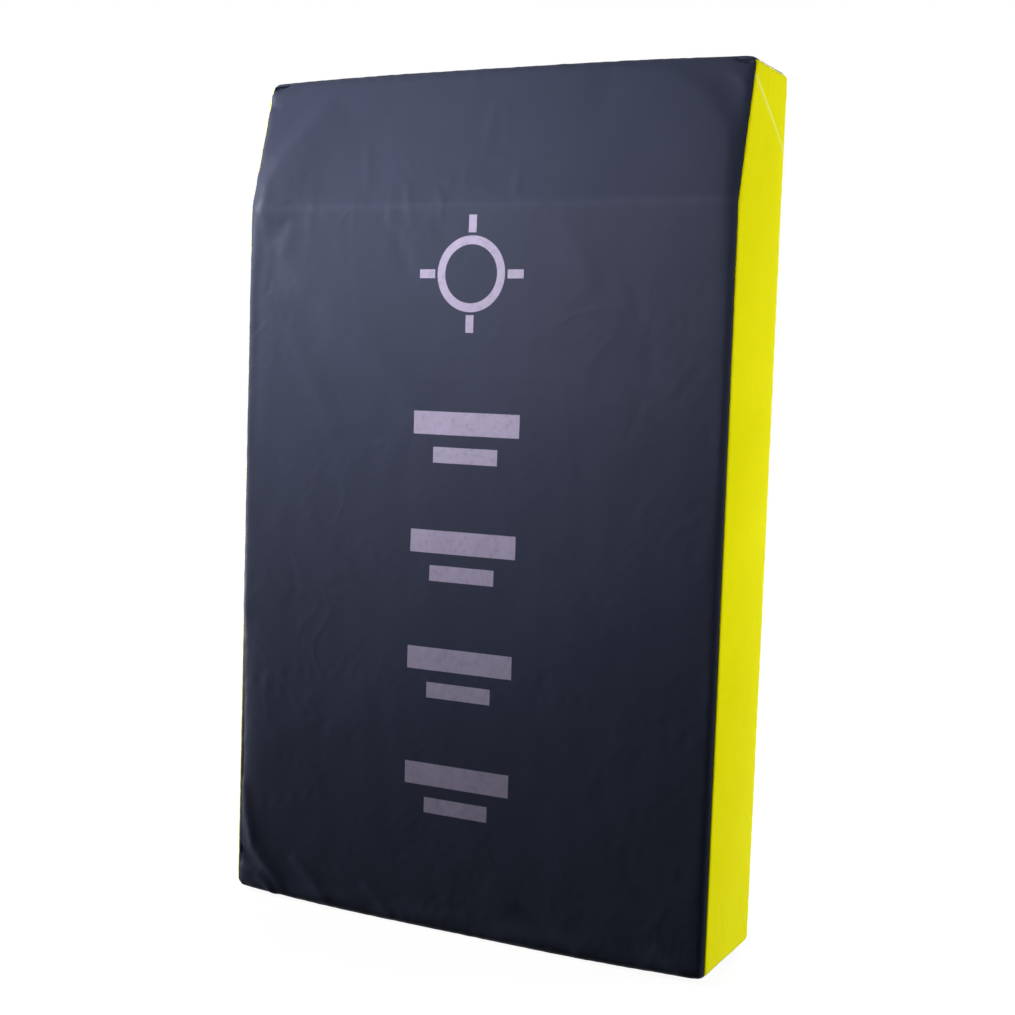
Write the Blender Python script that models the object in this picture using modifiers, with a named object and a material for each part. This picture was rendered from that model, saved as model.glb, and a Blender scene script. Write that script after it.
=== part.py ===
"""Aerial contest bag: an upright foam pad in a sewn PVC-coated cover, with loops and a zip on its back.

Metres, +Z up. The striking face looks along -Y, left and right are as seen from in front of it, and the
origin is the middle of the base, on the floor. The slab is laid out as a straight rounded box and then
settled: its upper front leans back from a fold, its faces swell and its lower corners lift off the floor.
"""

import math

import bmesh
import bpy
from mathutils import Vector

OBJECT_NAME = "aerial_contest_bag"

# The slab
WIDTH = 0.75
DEPTH = 0.185
HEIGHT = 1.211
BEND_HEIGHT = 1.019
TOP_LEAN = 0.051
BEND_SOFTNESS = 0.012

# How the stuffed cover swells and sags
FRONT_CROWN = 0.006
SIDE_CROWN = 0.003
TOP_CROWN = 0.003
CORNER_LIFT = 0.007
TOP_CORNER_DROP = 0.004
SAG_REACH = 0.25
FLAT_SHARE = 0.3

# The cover
COVER = 0.001
GAP = 0.0003
SAME_PLACE = 0.000001
SEAM_RADIUS = 0.008
SEAM_ALLOWANCE = 0.004

# The foam
STRIKE_FOAM = 0.030
BACKING_FOAM = 0.020
FOAM_EDGE_RADIUS = 0.016
BACK_EASE = 0.002

# The zip across the lower back
ZIP_HEIGHT = 0.13
ZIP_LENGTH = 0.64
ZIP_WINDOW = 0.016
TAPE_WIDTH = 0.021
TAPE = 0.0008
TAPE_END = 0.012
TOOTH_PITCH = 0.006
TOOTH_ROOT = 0.0020
TOOTH_TIP = 0.0027
TOOTH_DEPTH = 0.003
CHAIN_WIDTH = 0.0095
SPINE_WIDTH = 0.00175
TOOTH_TIP_ROOM = 0.0006
STOP_LENGTH = 0.005
STOP_RISE = 0.0004
SLIDER_LENGTH = 0.026
SLIDER_PLATE = 0.0016
SLIDER_NOSE_WALL = 0.0021
SLIDER_TAIL_WALL = 0.0014
BAIL_WIDTH = 0.003
BAIL_BAR = 0.0014
BAIL_FIT = 0.00035
PULLER_BAR = 0.0016
PULLER_LENGTH = 0.034
PULLER_WIDTH = 0.009
PULLER_WINDOW_LENGTH = 0.008
PULLER_SIDE_ROOM = 0.0007

# The vents
VENT_DROP = 0.111
VENT_SPREAD = 0.56
VENT_BORE = 0.010
VENT_SHANK_WALL = 0.0009
VENT_FLANGE = 0.021
VENT_WASHER = 0.019
VENT_FLANGE_RISE = 0.0013
VENT_WASHER_RISE = 0.0010

# The carrying loops
LOOP_HEIGHT = 0.66
LOOP_LENGTH = 0.28
SEWN_END = 0.05
WEBBING = 0.0018
GRIP_X = 0.105
GRIP_WEBBING = 0.025
GRIP_STANDOFF = 0.048
GRIP_SLEEVE = 0.12
GRIP_SLEEVE_WALL = 0.005
GRIP_BORE = 0.010
GRIP_SWING = 25.0
STRAP_X = 0.255
STRAP_WEBBING = 0.050
STRAP_STANDOFF = 0.075
STRAP_SLEEVE = 0.15
STRAP_SLEEVE_WALL = 0.006
STRAP_BORE = 0.008
STRAP_SWING = 20.0
SWING_ROOM = 0.002
SLEEVE_SIDE_ROOM = 0.0011
SLEEVE_BULGE = 0.0015
SLEEVE_TAPER = 0.018
SLEEVE_SIDES = 20
PATCH = 0.001
PATCH_MARGIN = 0.022
PATCH_INWARD = 0.020
PATCH_OUTWARD = 0.012
PATCH_CORNER = 0.012

# What follows from the sizes above
HALF = Vector((WIDTH / 2, DEPTH / 2, HEIGHT / 2))
MIDDLE = Vector((0, 0, HEIGHT / 2))
SEAM_SHIFT = GAP / math.sqrt(2)
BACK_OUT = DEPTH / 2 + SEAM_SHIFT
BACK_IN = BACK_OUT - COVER
TAPE_FACE = BACK_IN - GAP
CHAIN_FACE = TAPE_FACE + GAP + TOOTH_DEPTH
SLIDER_FACE = CHAIN_FACE + GAP + SLIDER_PLATE
PULLER_TURN = PULLER_BAR / math.sqrt(2) + BAIL_FIT
PULLER_AXIS = SLIDER_FACE + PULLER_TURN
PATCH_FACE = BACK_OUT + GAP + PATCH
LOOP_AXIS = PATCH_FACE + GAP + WEBBING / 2
VENT_HEIGHT = HEIGHT - VENT_DROP
SLIDER_REST = -(ZIP_LENGTH / 2 - GAP - SLIDER_LENGTH / 2)

# Lines that the cover panels and the foam share, so that both bend at the same places
X_LINES = [WIDTH / 2 * share for share in (-0.78, -0.55, -0.3, 0, 0.3, 0.55, 0.78)]
Y_LINES = [DEPTH / 2 * share for share in (-0.5, 0, 0.5)]
Z_LINES = [SAG_REACH * share for share in (0.36, 0.72, 1.08)]
Z_LINES += [BEND_HEIGHT * share for share in (0.44, 0.62, 0.8)]
Z_LINES += [BEND_HEIGHT - BEND_SOFTNESS, BEND_HEIGHT, BEND_HEIGHT + BEND_SOFTNESS]
Z_LINES += [(BEND_HEIGHT + HEIGHT) / 2]


def settle(point):
    """Moves a point of the straight slab to its place in the stuffed one."""
    x, y, z = point
    across, along = x / HALF.x, (z - HALF.z) / HALF.z
    from_back = (HALF.y - y) / DEPTH
    swell = max(0.0, 1 - across**2) * max(0.0, 1 - along**2)
    lean = TOP_LEAN / (HEIGHT - BEND_HEIGHT)
    past = z - BEND_HEIGHT
    if abs(past) < BEND_SOFTNESS:
        back = lean * (past + BEND_SOFTNESS) ** 2 / (4 * BEND_SOFTNESS)
    else:
        back = lean * max(0.0, past)
    side = max(0.0, 1 - (y / HALF.y) ** 2) * max(0.0, 1 - along**2)
    corner = max(0.0, (abs(across) - FLAT_SHARE) / (1 - FLAT_SHARE)) ** 2
    low = max(0.0, 1 - max(z, 0.0) / SAG_REACH) ** 2
    high = max(0.0, 1 - max(HEIGHT - z, 0.0) / SAG_REACH) ** 2
    crest = max(0.0, 1 - across**2) * max(0.0, 1 - (y / HALF.y) ** 2)
    rise = CORNER_LIFT * corner * low + (TOP_CROWN * crest - TOP_CORNER_DROP * corner) * high
    return Vector((
        x + SIDE_CROWN * side * across,
        y + (back - FRONT_CROWN * swell) * from_back,
        z + SEAM_SHIFT + rise,
    ))


def settle_all(bm):
    """Settles a mesh, its quads first cut along one diagonal so that facing sheets bend alike."""
    for face in bm.faces[:]:
        if len(face.verts) == 4:
            lowest = min(range(4), key=lambda k: sum(face.verts[k].co))
            bmesh.utils.face_split(face, face.verts[lowest], face.verts[lowest - 2])
    for vert in bm.verts:
        vert.co = settle(vert.co)


def material(name, colour, roughness, metallic=0.0):
    made = bpy.data.materials.new(name)
    made.use_nodes = True
    shader = made.node_tree.nodes["Principled BSDF"]
    shader.inputs["Base Color"].default_value = (*colour, 1.0)
    shader.inputs["Roughness"].default_value = roughness
    shader.inputs["Metallic"].default_value = metallic
    return made


def placed(name, mesh, finish, collection, parent=None):
    """An object of this mesh; under a parent, the mesh is written about the parent's place."""
    mesh.materials.append(finish)
    obj = bpy.data.objects.new(name, mesh)
    collection.objects.link(obj)
    obj.parent = parent
    return obj


def from_bmesh(name, bm, finish, collection, parent=None, smooth=math.radians(30)):
    mesh = bpy.data.meshes.new(name)
    bm.to_mesh(mesh)
    bm.free()
    mesh.shade_smooth()
    mesh.set_sharp_from_angle(angle=smooth)
    return placed(name, mesh, finish, collection, parent)


def pivot(name, place, collection):
    """An empty on a joint's axis, which carries the pieces that turn or slide with it."""
    empty = bpy.data.objects.new(name, None)
    empty.location = place
    empty.empty_display_size = 0.03
    collection.objects.link(empty)
    return empty


def box_bmesh(low, high):
    """A box between two corners."""
    low, high = Vector(low), Vector(high)
    bm = bmesh.new()
    bmesh.ops.create_cube(bm, size=1.0)
    bmesh.ops.scale(bm, vec=high - low, verts=bm.verts)
    bmesh.ops.translate(bm, vec=(low + high) / 2, verts=bm.verts)
    return bm


def cut_from(obj, cutter, name):
    """Subtracts a cutter, which stays hidden in its own collection."""
    modifier = obj.modifiers.new(name, "BOOLEAN")
    modifier.operation = "DIFFERENCE"
    modifier.object = cutter


def hidden(obj):
    obj.hide_render = True
    obj.display_type = "WIRE"
    return obj


def cover_panel(name, axis, sign, lines, finish, collection):
    """One face of the cover: its borders roll half way round the slab's edges and dive into the seams."""
    across, along = [k for k in range(3) if k != axis]
    normal = Vector([sign if k == axis else 0.0 for k in range(3)])
    columns, rows = [border_lines(lines[k], MIDDLE[k], HALF[k]) for k in (across, along)]
    bm = bmesh.new()
    bmesh.ops.create_grid(bm, x_segments=len(columns) - 1, y_segments=len(rows) - 1, size=1.0)
    inner = HALF - Vector((SEAM_RADIUS,) * 3)
    for vert in bm.verts:
        column = round((vert.co.x + 1) / 2 * (len(columns) - 1))
        row = round((vert.co.y + 1) / 2 * (len(rows) - 1))
        flat = Vector((0, 0, 0))
        flat[axis] = sign * HALF[axis]
        flat[across] = columns[column]
        flat[along] = rows[row]
        core = Vector([max(-inner[k], min(inner[k], flat[k])) for k in range(3)])
        dives = column in (0, len(columns) - 1) or row in (0, len(rows) - 1)
        radius = SEAM_RADIUS - (SEAM_ALLOWANCE if dives else 0.0)
        vert.co = core + (flat - core).normalized() * radius + MIDDLE + normal * SEAM_SHIFT
    bmesh.ops.remove_doubles(bm, verts=bm.verts, dist=SAME_PLACE)
    settle_all(bm)
    bm.normal_update()
    if sum(face.normal.dot(normal) for face in bm.faces) < 0:
        bmesh.ops.reverse_faces(bm, faces=bm.faces)
    obj = from_bmesh(name, bm, finish, collection, smooth=math.radians(50))
    wall = obj.modifiers.new("cover wall", "SOLIDIFY")
    wall.thickness = COVER
    wall.offset = -1.0
    wall.use_even_offset = True
    return obj


def border_lines(lines, middle, half):
    """A panel's lines about its middle, with those that round its borders and the seam's own at each end."""
    flat_half = half - SEAM_RADIUS
    rolled = [half - SEAM_RADIUS * (1 - math.tan(math.radians(turn))) for turn in (0, 22.5, 45)]
    inside = [line - middle for line in lines if abs(line - middle) < flat_half]
    return [-half, *[-r for r in reversed(rolled)], *inside, *rolled, half]


def foam_layer(name, front, back, finish, collection):
    """One sheet of the laminated block, cut at two depths from the whole block with its rounded edges."""
    side = WIDTH / 2 - COVER - GAP
    low = (-side, -DEPTH / 2 + COVER + GAP, COVER - SEAM_SHIFT + GAP)
    high = (side, BACK_IN - BACK_EASE, HEIGHT - COVER - GAP)
    bm = box_bmesh(low, high)
    bmesh.ops.bevel(bm, geom=bm.edges[:], offset=FOAM_EDGE_RADIUS, segments=3, profile=0.5, affect="EDGES")
    for depth, keeps_back in ((front, True), (back, False)):
        if low[1] < depth < high[1]:
            cut = bmesh.ops.bisect_plane(
                bm, geom=bm.verts[:] + bm.edges[:] + bm.faces[:], plane_co=(0, depth, 0), plane_no=(0, 1, 0),
                clear_inner=keeps_back, clear_outer=not keeps_back,
            )
            rim = [item for item in cut["geom_cut"] if isinstance(item, bmesh.types.BMEdge)]
            bmesh.ops.contextual_create(bm, geom=rim)
    for lines, direction in ((X_LINES, (1, 0, 0)), (Y_LINES, (0, 1, 0)), (Z_LINES, (0, 0, 1))):
        for line in lines:
            everything = bm.verts[:] + bm.edges[:] + bm.faces[:]
            bmesh.ops.bisect_plane(bm, geom=everything, plane_co=Vector(direction) * line, plane_no=direction)
    settle_all(bm)
    bmesh.ops.recalc_face_normals(bm, faces=bm.faces)
    return from_bmesh(name, bm, finish, collection)


def tooth_comb(name, side, shift, finish, collection):
    """One half of the zip's chain: a spine with dovetail teeth that reach between those of the other half."""
    spine_out, spine_in = CHAIN_WIDTH / 2, CHAIN_WIDTH / 2 - SPINE_WIDTH
    tip = -(spine_in - TOOTH_TIP_ROOM)
    count = int(round((ZIP_LENGTH - TOOTH_PITCH) / TOOTH_PITCH))
    start = -count * TOOTH_PITCH / 2
    points = [(start - TOOTH_PITCH / 4, spine_out), (start - TOOTH_PITCH / 4, spine_in)]
    for k in range(count):
        middle = start + (k + 0.25 + shift) * TOOTH_PITCH
        points += [(middle - TOOTH_ROOT / 2, spine_in), (middle - TOOTH_TIP / 2, tip)]
        points += [(middle + TOOTH_TIP / 2, tip), (middle + TOOTH_ROOT / 2, spine_in)]
    points += [(-start + TOOTH_PITCH / 4, spine_in), (-start + TOOTH_PITCH / 4, spine_out)]
    curve = bpy.data.curves.new(name, "CURVE")
    curve.dimensions = "2D"
    curve.fill_mode = "BOTH"
    curve.extrude = TOOTH_DEPTH / 2
    spline = curve.splines.new("POLY")
    spline.points.add(len(points) - 1)
    spline.use_cyclic_u = True
    for point, (x, z) in zip(spline.points, points):
        point.co = (x, side * z, 0, 1)
    curve.materials.append(finish)
    obj = bpy.data.objects.new(name, curve)
    obj.rotation_euler = (math.radians(90), 0, 0)
    obj.location = (0, TAPE_FACE + GAP + TOOTH_DEPTH / 2, ZIP_HEIGHT)
    collection.objects.link(obj)
    return obj


def outline_object(name, outlines, thickness, finish, collection, parent=None):
    """A flat plate in the XZ plane from closed outlines, the second and later ones being its windows."""
    curve = bpy.data.curves.new(name, "CURVE")
    curve.dimensions = "2D"
    curve.fill_mode = "BOTH"
    curve.extrude = thickness / 2
    for outline in outlines:
        spline = curve.splines.new("POLY")
        spline.points.add(len(outline) - 1)
        spline.use_cyclic_u = True
        for point, (x, z) in zip(spline.points, outline):
            point.co = (x, z, 0, 1)
    curve.materials.append(finish)
    obj = bpy.data.objects.new(name, curve)
    obj.rotation_euler = (math.radians(90), 0, 0)
    obj.parent = parent
    collection.objects.link(obj)
    return obj


def arc(centre, radius, start, end, steps):
    """Points on an arc, angles in degrees."""
    turns = [math.radians(start + (end - start) * k / steps) for k in range(steps + 1)]
    return [(centre[0] + radius * math.cos(t), centre[1] + radius * math.sin(t)) for t in turns]


def build_zip(finishes, collection):
    """The tapes behind the window in the back panel, the chain on them, its stops, slider and puller."""
    for side, where in ((1, "upper"), (-1, "lower")):
        inner, outer = ZIP_HEIGHT + side * GAP, ZIP_HEIGHT + side * TAPE_WIDTH
        reach = ZIP_LENGTH / 2 + TAPE_END
        low = (-reach, TAPE_FACE - TAPE, min(inner, outer))
        high = (reach, TAPE_FACE, max(inner, outer))
        from_bmesh(f"zip_tape_{where}", box_bmesh(low, high), finishes["tape"], collection)
        tooth_comb(f"zip_teeth_{where}", side, 0.0 if side > 0 else 0.5, finishes["teeth"], collection)
    for side, where in ((-1, "left"), (1, "right")):
        inner, outer = side * (ZIP_LENGTH / 2 + GAP), side * (ZIP_LENGTH / 2 + GAP + STOP_LENGTH)
        half = CHAIN_WIDTH / 2
        low = (min(inner, outer), TAPE_FACE + GAP, ZIP_HEIGHT - half)
        high = (max(inner, outer), CHAIN_FACE + STOP_RISE, ZIP_HEIGHT + half)
        stop = from_bmesh(f"zip_stop_{where}", box_bmesh(low, high), finishes["metal"], collection)
        edge = stop.modifiers.new("rounded", "BEVEL")
        edge.width = STOP_RISE * 2
        edge.segments = 2
    slider_at = pivot("zip_slider_axis", (SLIDER_REST, 0, ZIP_HEIGHT), collection)
    build_slider(slider_at, finishes["metal"], collection)
    puller_at = pivot("zip_puller_axis", (0, PULLER_AXIS, 0), collection)
    puller_at.parent = slider_at
    build_puller(puller_at, finishes["metal"], collection)


def build_slider(parent, finish, collection):
    """A cap over the chain with a rail down each side, wider at its nose, and the bail for the puller."""
    inside = CHAIN_WIDTH / 2 + GAP
    half = SLIDER_LENGTH / 2
    bm = box_bmesh((-half, TAPE_FACE + GAP, -inside), (half, SLIDER_FACE, inside))
    for vert in bm.verts:
        wall = SLIDER_NOSE_WALL if vert.co.x < 0 else SLIDER_TAIL_WALL
        vert.co.z = math.copysign(inside + wall, vert.co.z)
    corners = [edge for edge in bm.edges if abs(edge.verts[0].co.y - edge.verts[1].co.y) > SLIDER_PLATE]
    bmesh.ops.bevel(bm, geom=corners, offset=SLIDER_TAIL_WALL, segments=3, profile=0.5, affect="EDGES")
    slider = from_bmesh("zip_slider", bm, finish, collection, parent)
    channel = from_bmesh(
        "zip_slider_channel",
        box_bmesh((-SLIDER_LENGTH, 0, -inside), (SLIDER_LENGTH, CHAIN_FACE + GAP, inside)),
        finish, bpy.data.collections["cutters"], parent,
    )
    cut_from(slider, hidden(channel), "chain channel")
    inner = PULLER_TURN
    outer = inner + BAIL_BAR
    height = 2 * PULLER_TURN
    sink = SLIDER_PLATE / 2
    profile = [(-outer, -sink), *arc((0, inner), outer, 180, 0, 10), (outer, -sink)]
    profile += [(inner, -sink), *arc((0, height - inner), inner, 0, 180, 10), (-inner, -sink)]
    bail = bpy.data.curves.new("zip_bail", "CURVE")
    bail.dimensions = "2D"
    bail.fill_mode = "BOTH"
    bail.extrude = BAIL_WIDTH / 2
    spline = bail.splines.new("POLY")
    spline.points.add(len(profile) - 1)
    spline.use_cyclic_u = True
    for point, (x, y) in zip(spline.points, profile):
        point.co = (x, SLIDER_FACE + y, 0, 1)
    source = bpy.data.objects.new("zip_bail_curve", bail)
    collection.objects.link(source)
    mesh = bpy.data.meshes.new_from_object(source.evaluated_get(bpy.context.evaluated_depsgraph_get()))
    bpy.data.objects.remove(source)
    bm = bmesh.new()
    bm.from_mesh(mesh)
    bmesh.ops.remove_doubles(bm, verts=bm.verts, dist=SAME_PLACE)
    arch = from_bmesh("zip_bail", bm, finish, bpy.data.collections["cutters"], parent)
    joined = slider.modifiers.new("bail", "BOOLEAN")
    joined.operation = "UNION"
    joined.object = hidden(arch)


def build_puller(parent, finish, collection):
    """A tab that lies along the chain, with a window round the bail's leg and a bar under the bail."""
    bar = PULLER_BAR / 2
    half = PULLER_WIDTH / 2
    window = BAIL_WIDTH / 2 + PULLER_SIDE_ROOM
    tail = -(PULLER_LENGTH - half)
    outline = [(bar, -half), (bar, half), *arc((tail, 0), half, 90, 270, 10)]
    hole = [(-bar, -window), (-bar - PULLER_WINDOW_LENGTH, -window)]
    hole += [(-bar - PULLER_WINDOW_LENGTH, window), (-bar, window)]
    outline_object("zip_puller", [outline, hole], PULLER_BAR, finish, collection, parent)


def build_vents(back, finish, collection):
    """A rolled eyelet on each side near the top of the back, through its own hole in the panel."""
    bore = VENT_BORE / 2
    shank = bore + VENT_SHANK_WALL
    face, inside = BACK_OUT + GAP, BACK_IN - GAP
    profile = [
        (VENT_FLANGE / 2, face), (VENT_FLANGE / 2 - VENT_FLANGE_RISE / 2, face + VENT_FLANGE_RISE * 0.8),
        (VENT_FLANGE / 2 - VENT_FLANGE_RISE * 1.5, face + VENT_FLANGE_RISE), (shank, face + VENT_FLANGE_RISE),
        (bore, face + VENT_FLANGE_RISE * 0.3), (bore, inside - VENT_WASHER_RISE),
        (VENT_WASHER / 2, inside - VENT_WASHER_RISE), (VENT_WASHER / 2, inside),
        (shank, inside), (shank, face),
    ]
    for side, where in ((-1, "left"), (1, "right")):
        bm = bmesh.new()
        rim = [bm.verts.new((radius, depth, 0)) for radius, depth in profile]
        edges = [bm.edges.new((a, b)) for a, b in zip(rim, rim[1:] + rim[:1])]
        bmesh.ops.spin(
            bm, geom=rim + edges, cent=(0, 0, 0), axis=(0, 1, 0), angle=math.tau, steps=16, use_merge=True
        )
        bmesh.ops.recalc_face_normals(bm, faces=bm.faces)
        eyelet = from_bmesh(f"vent_eyelet_{where}", bm, finish, collection)
        eyelet.location = (side * VENT_SPREAD / 2, 0, VENT_HEIGHT)
        bm = bmesh.new()
        bmesh.ops.create_cone(
            bm, cap_ends=True, segments=16, radius1=shank + GAP, radius2=shank + GAP, depth=10 * COVER
        )
        hole = from_bmesh(f"vent_hole_{where}", bm, finish, bpy.data.collections["cutters"])
        hole.rotation_euler = (math.radians(90), 0, 0)
        hole.location = (side * VENT_SPREAD / 2, BACK_OUT, VENT_HEIGHT)
        cut_from(back, hidden(hole), f"vent hole {where}")


def standoff(from_middle, sleeve, reach):
    """How far the webbing stands off its sewn ends' plane: level in the sleeve, easing down to each end."""
    level = sleeve / 2 + SLEEVE_TAPER / 2
    share = (abs(from_middle) - level) / (LOOP_LENGTH / 2 - level)
    return reach * (0.5 + 0.5 * math.cos(math.pi * max(0.0, min(1.0, share))))


def height_of_standoff(value, sleeve, reach):
    """The distance from the loop's middle at which the webbing stands off by this much."""
    level = sleeve / 2 + SLEEVE_TAPER / 2
    return level + (LOOP_LENGTH / 2 - level) * math.acos(2 * value / reach - 1) / math.pi


def webbing_strip(name, width, heights, sleeve, reach, finish, collection, parent):
    """A length of webbing about the loop's axis, cut level at both heights so that it can lean past its ends."""
    bm = box_bmesh((-width / 2, -1, heights[0]), (width / 2, 1, heights[-1]))
    for height in heights[1:-1]:
        everything = bm.verts[:] + bm.edges[:] + bm.faces[:]
        bmesh.ops.bisect_plane(bm, geom=everything, plane_co=(0, 0, height), plane_no=(0, 0, 1))
    for vert in bm.verts:
        side, height = vert.co.y, vert.co.z
        ahead, behind = [standoff(height + step, sleeve, reach) for step in (WEBBING, -WEBBING)]
        wall = WEBBING * math.hypot(1, (ahead - behind) / (2 * WEBBING))
        vert.co.y = standoff(height, sleeve, reach) + side * wall / 2
    return from_bmesh(name, bm, finish, collection, parent, smooth=math.radians(60))


def spaced(first, last, steps):
    return [first + (last - first) * k / steps for k in range(steps + 1)]


def padded_sleeve(name, width, bore, wall, length, reach, finish, collection, parent):
    """A flat oval padded tube round the webbing, a little fuller between its ends."""
    bm = bmesh.new()
    end = bore / 2 + wall
    bmesh.ops.create_cone(bm, cap_ends=False, segments=SLEEVE_SIDES, radius1=end, radius2=end, depth=length)
    for inward in (SLEEVE_TAPER / 3, SLEEVE_TAPER):
        for height in (inward - length / 2, length / 2 - inward):
            everything = bm.verts[:] + bm.edges[:] + bm.faces[:]
            bmesh.ops.bisect_plane(bm, geom=everything, plane_co=(0, 0, height), plane_no=(0, 0, 1))
    straight = width / 2 + SLEEVE_SIDE_ROOM - bore / 2
    for vert in bm.verts:
        x, y, height = vert.co
        inward = max(0.0, length / 2 - abs(height))
        full = 1 + SLEEVE_BULGE * math.sqrt(min(1.0, inward / SLEEVE_TAPER)) / end
        side = 0.0 if abs(x) < SAME_PLACE else math.copysign(straight, x)
        vert.co = (x * full + side, reach + y * full, height)
    sleeve = from_bmesh(name, bm, finish, collection, parent, smooth=math.radians(60))
    thick = sleeve.modifiers.new("padded wall", "SOLIDIFY")
    thick.thickness = wall
    thick.offset = -1.0
    thick.use_even_offset = True
    return sleeve


def build_loop(name, x, width, reach, sleeve, bore, wall, swing, finishes, collection):
    """A webbing loop with its padded sleeve between two sewn ends; it leans about the line through them."""
    lowest = width / 2 * math.tan(math.radians(swing)) + SWING_ROOM
    split = height_of_standoff(lowest, sleeve, reach)
    end = LOOP_LENGTH / 2
    axis = pivot(f"{name}_axis", (x, LOOP_AXIS, LOOP_HEIGHT), collection)
    level = sleeve / 2 + SLEEVE_TAPER / 2
    rise = spaced(level, split - GAP / 2, 6)
    heights = [-height for height in reversed(rise)] + rise
    webbing_strip(f"{name}_webbing", width, heights, sleeve, reach, finishes["webbing"], collection, axis)
    padded_sleeve(f"{name}_sleeve", width, bore, wall, sleeve, reach, finishes["sleeve"], collection, axis)
    sewn = pivot(f"{name}_sewn_ends", (x, LOOP_AXIS, LOOP_HEIGHT), collection)
    foot = [*spaced(split + GAP / 2, end, 4), end + SEWN_END]
    for side, where in ((1, "upper"), (-1, "lower")):
        part = f"{name}_end_{where}"
        ends = foot if side > 0 else [-height for height in reversed(foot)]
        webbing_strip(part, width, ends, sleeve, reach, finishes["webbing"], collection, sewn)


def build_patch(name, side, where, finish, collection):
    """A doubled piece of cover under the sewn ends of both loops of one side."""
    end = LOOP_HEIGHT + where * LOOP_LENGTH / 2
    levels = sorted((end - where * PATCH_INWARD, end + where * (SEWN_END + PATCH_OUTWARD)))
    sides = sorted((
        side * (GRIP_X - GRIP_WEBBING / 2 - PATCH_MARGIN), side * (STRAP_X + STRAP_WEBBING / 2 + PATCH_MARGIN)
    ))
    bm = box_bmesh((sides[0], BACK_OUT + GAP, levels[0]), (sides[1], PATCH_FACE, levels[1]))
    corners = [edge for edge in bm.edges if edge.calc_length() < 2 * PATCH]
    bmesh.ops.bevel(bm, geom=corners, offset=PATCH_CORNER, segments=4, profile=0.5, affect="EDGES")
    from_bmesh(name, bm, finish, collection)


def build_cover(finishes, collection):
    """The six panels of the cover, with the zip's window in the back one."""
    lines = (X_LINES, Y_LINES, Z_LINES)
    cover_panel("front_panel", 1, -1, lines, finishes["navy"], collection)
    cover_panel("left_side_panel", 0, -1, lines, finishes["lime"], collection)
    cover_panel("right_side_panel", 0, 1, lines, finishes["lime"], collection)
    cover_panel("top_panel", 2, 1, lines, finishes["navy"], collection)
    cover_panel("base_panel", 2, -1, lines, finishes["navy"], collection)
    back = cover_panel("back_panel", 1, 1, lines, finishes["navy"], collection)
    reach = ZIP_LENGTH / 2 + GAP + STOP_LENGTH + GAP
    low = (-reach, BACK_IN - COVER, ZIP_HEIGHT - ZIP_WINDOW / 2)
    high = (reach, BACK_OUT + COVER, ZIP_HEIGHT + ZIP_WINDOW / 2)
    window = from_bmesh("zip_window", box_bmesh(low, high), finishes["navy"], bpy.data.collections["cutters"])
    cut_from(back, hidden(window), "zip window")
    return back


def build_foam(finish, finish_firm, collection):
    """The laminated block: a firm striking sheet, the soft core and a firm backing sheet behind the loops."""
    front, back = -DEPTH / 2, BACK_IN - BACK_EASE
    strike_back = front + COVER + GAP + STRIKE_FOAM
    backing_front = back - BACKING_FOAM
    foam_layer("strike_foam", front, strike_back - GAP / 2, finish_firm, collection)
    foam_layer("foam_core", strike_back + GAP / 2, backing_front - GAP / 2, finish, collection)
    foam_layer("backing_foam", backing_front + GAP / 2, back + COVER, finish_firm, collection)


def main():
    for obj in list(bpy.data.objects):
        bpy.data.objects.remove(obj)
    collection = bpy.data.collections.new(OBJECT_NAME)
    cutters = bpy.data.collections.new("cutters")
    bpy.context.scene.collection.children.link(collection)
    bpy.context.scene.collection.children.link(cutters)
    finishes = {
        "navy": material("navy PVC-coated polyester", (0.022, 0.027, 0.048), 0.45),
        "lime": material("lime PVC-coated polyester", (0.73, 0.73, 0.004), 0.5),
        "foam": material("open-cell foam", (0.55, 0.56, 0.6), 0.95),
        "firm": material("firm reconstituted foam", (0.12, 0.15, 0.3), 0.95),
        "webbing": material("black polypropylene webbing", (0.012, 0.012, 0.014), 0.75),
        "sleeve": material("padded navy sleeve", (0.02, 0.024, 0.04), 0.5),
        "tape": material("black zip tape", (0.01, 0.01, 0.011), 0.85),
        "teeth": material("black acetal teeth", (0.014, 0.014, 0.015), 0.35),
        "metal": material("black enamelled zinc", (0.02, 0.02, 0.022), 0.3, 0.4),
        "brass": material("nickel-plated brass", (0.62, 0.6, 0.56), 0.25, 1.0),
    }
    back = build_cover(finishes, collection)
    build_foam(finishes["foam"], finishes["firm"], collection)
    build_zip(finishes, collection)
    build_vents(back, finishes["brass"], collection)
    for side, name in ((-1, "left"), (1, "right")):
        build_patch(f"{name}_patch_upper", side, 1, finishes["navy"], collection)
        build_patch(f"{name}_patch_lower", side, -1, finishes["navy"], collection)
        build_loop(
            f"{name}_grip", side * GRIP_X, GRIP_WEBBING, GRIP_STANDOFF, GRIP_SLEEVE, GRIP_BORE,
            GRIP_SLEEVE_WALL, GRIP_SWING, finishes, collection,
        )
        build_loop(
            f"{name}_arm_strap", side * STRAP_X, STRAP_WEBBING, STRAP_STANDOFF, STRAP_SLEEVE, STRAP_BORE,
            STRAP_SLEEVE_WALL, STRAP_SWING, finishes, collection,
        )


main()
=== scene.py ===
"""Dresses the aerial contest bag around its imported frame: cover, foam, zip, vents, loops and stage."""

import math
from collections import namedtuple

import bmesh
import bpy
from bpy.props import FloatProperty, FloatVectorProperty, PointerProperty
from bpy.types import Operator, Panel, PropertyGroup
from mathutils import Matrix, Vector, noise
from mathutils.geometry import intersect_point_line
from mathutils.kdtree import KDTree


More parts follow.
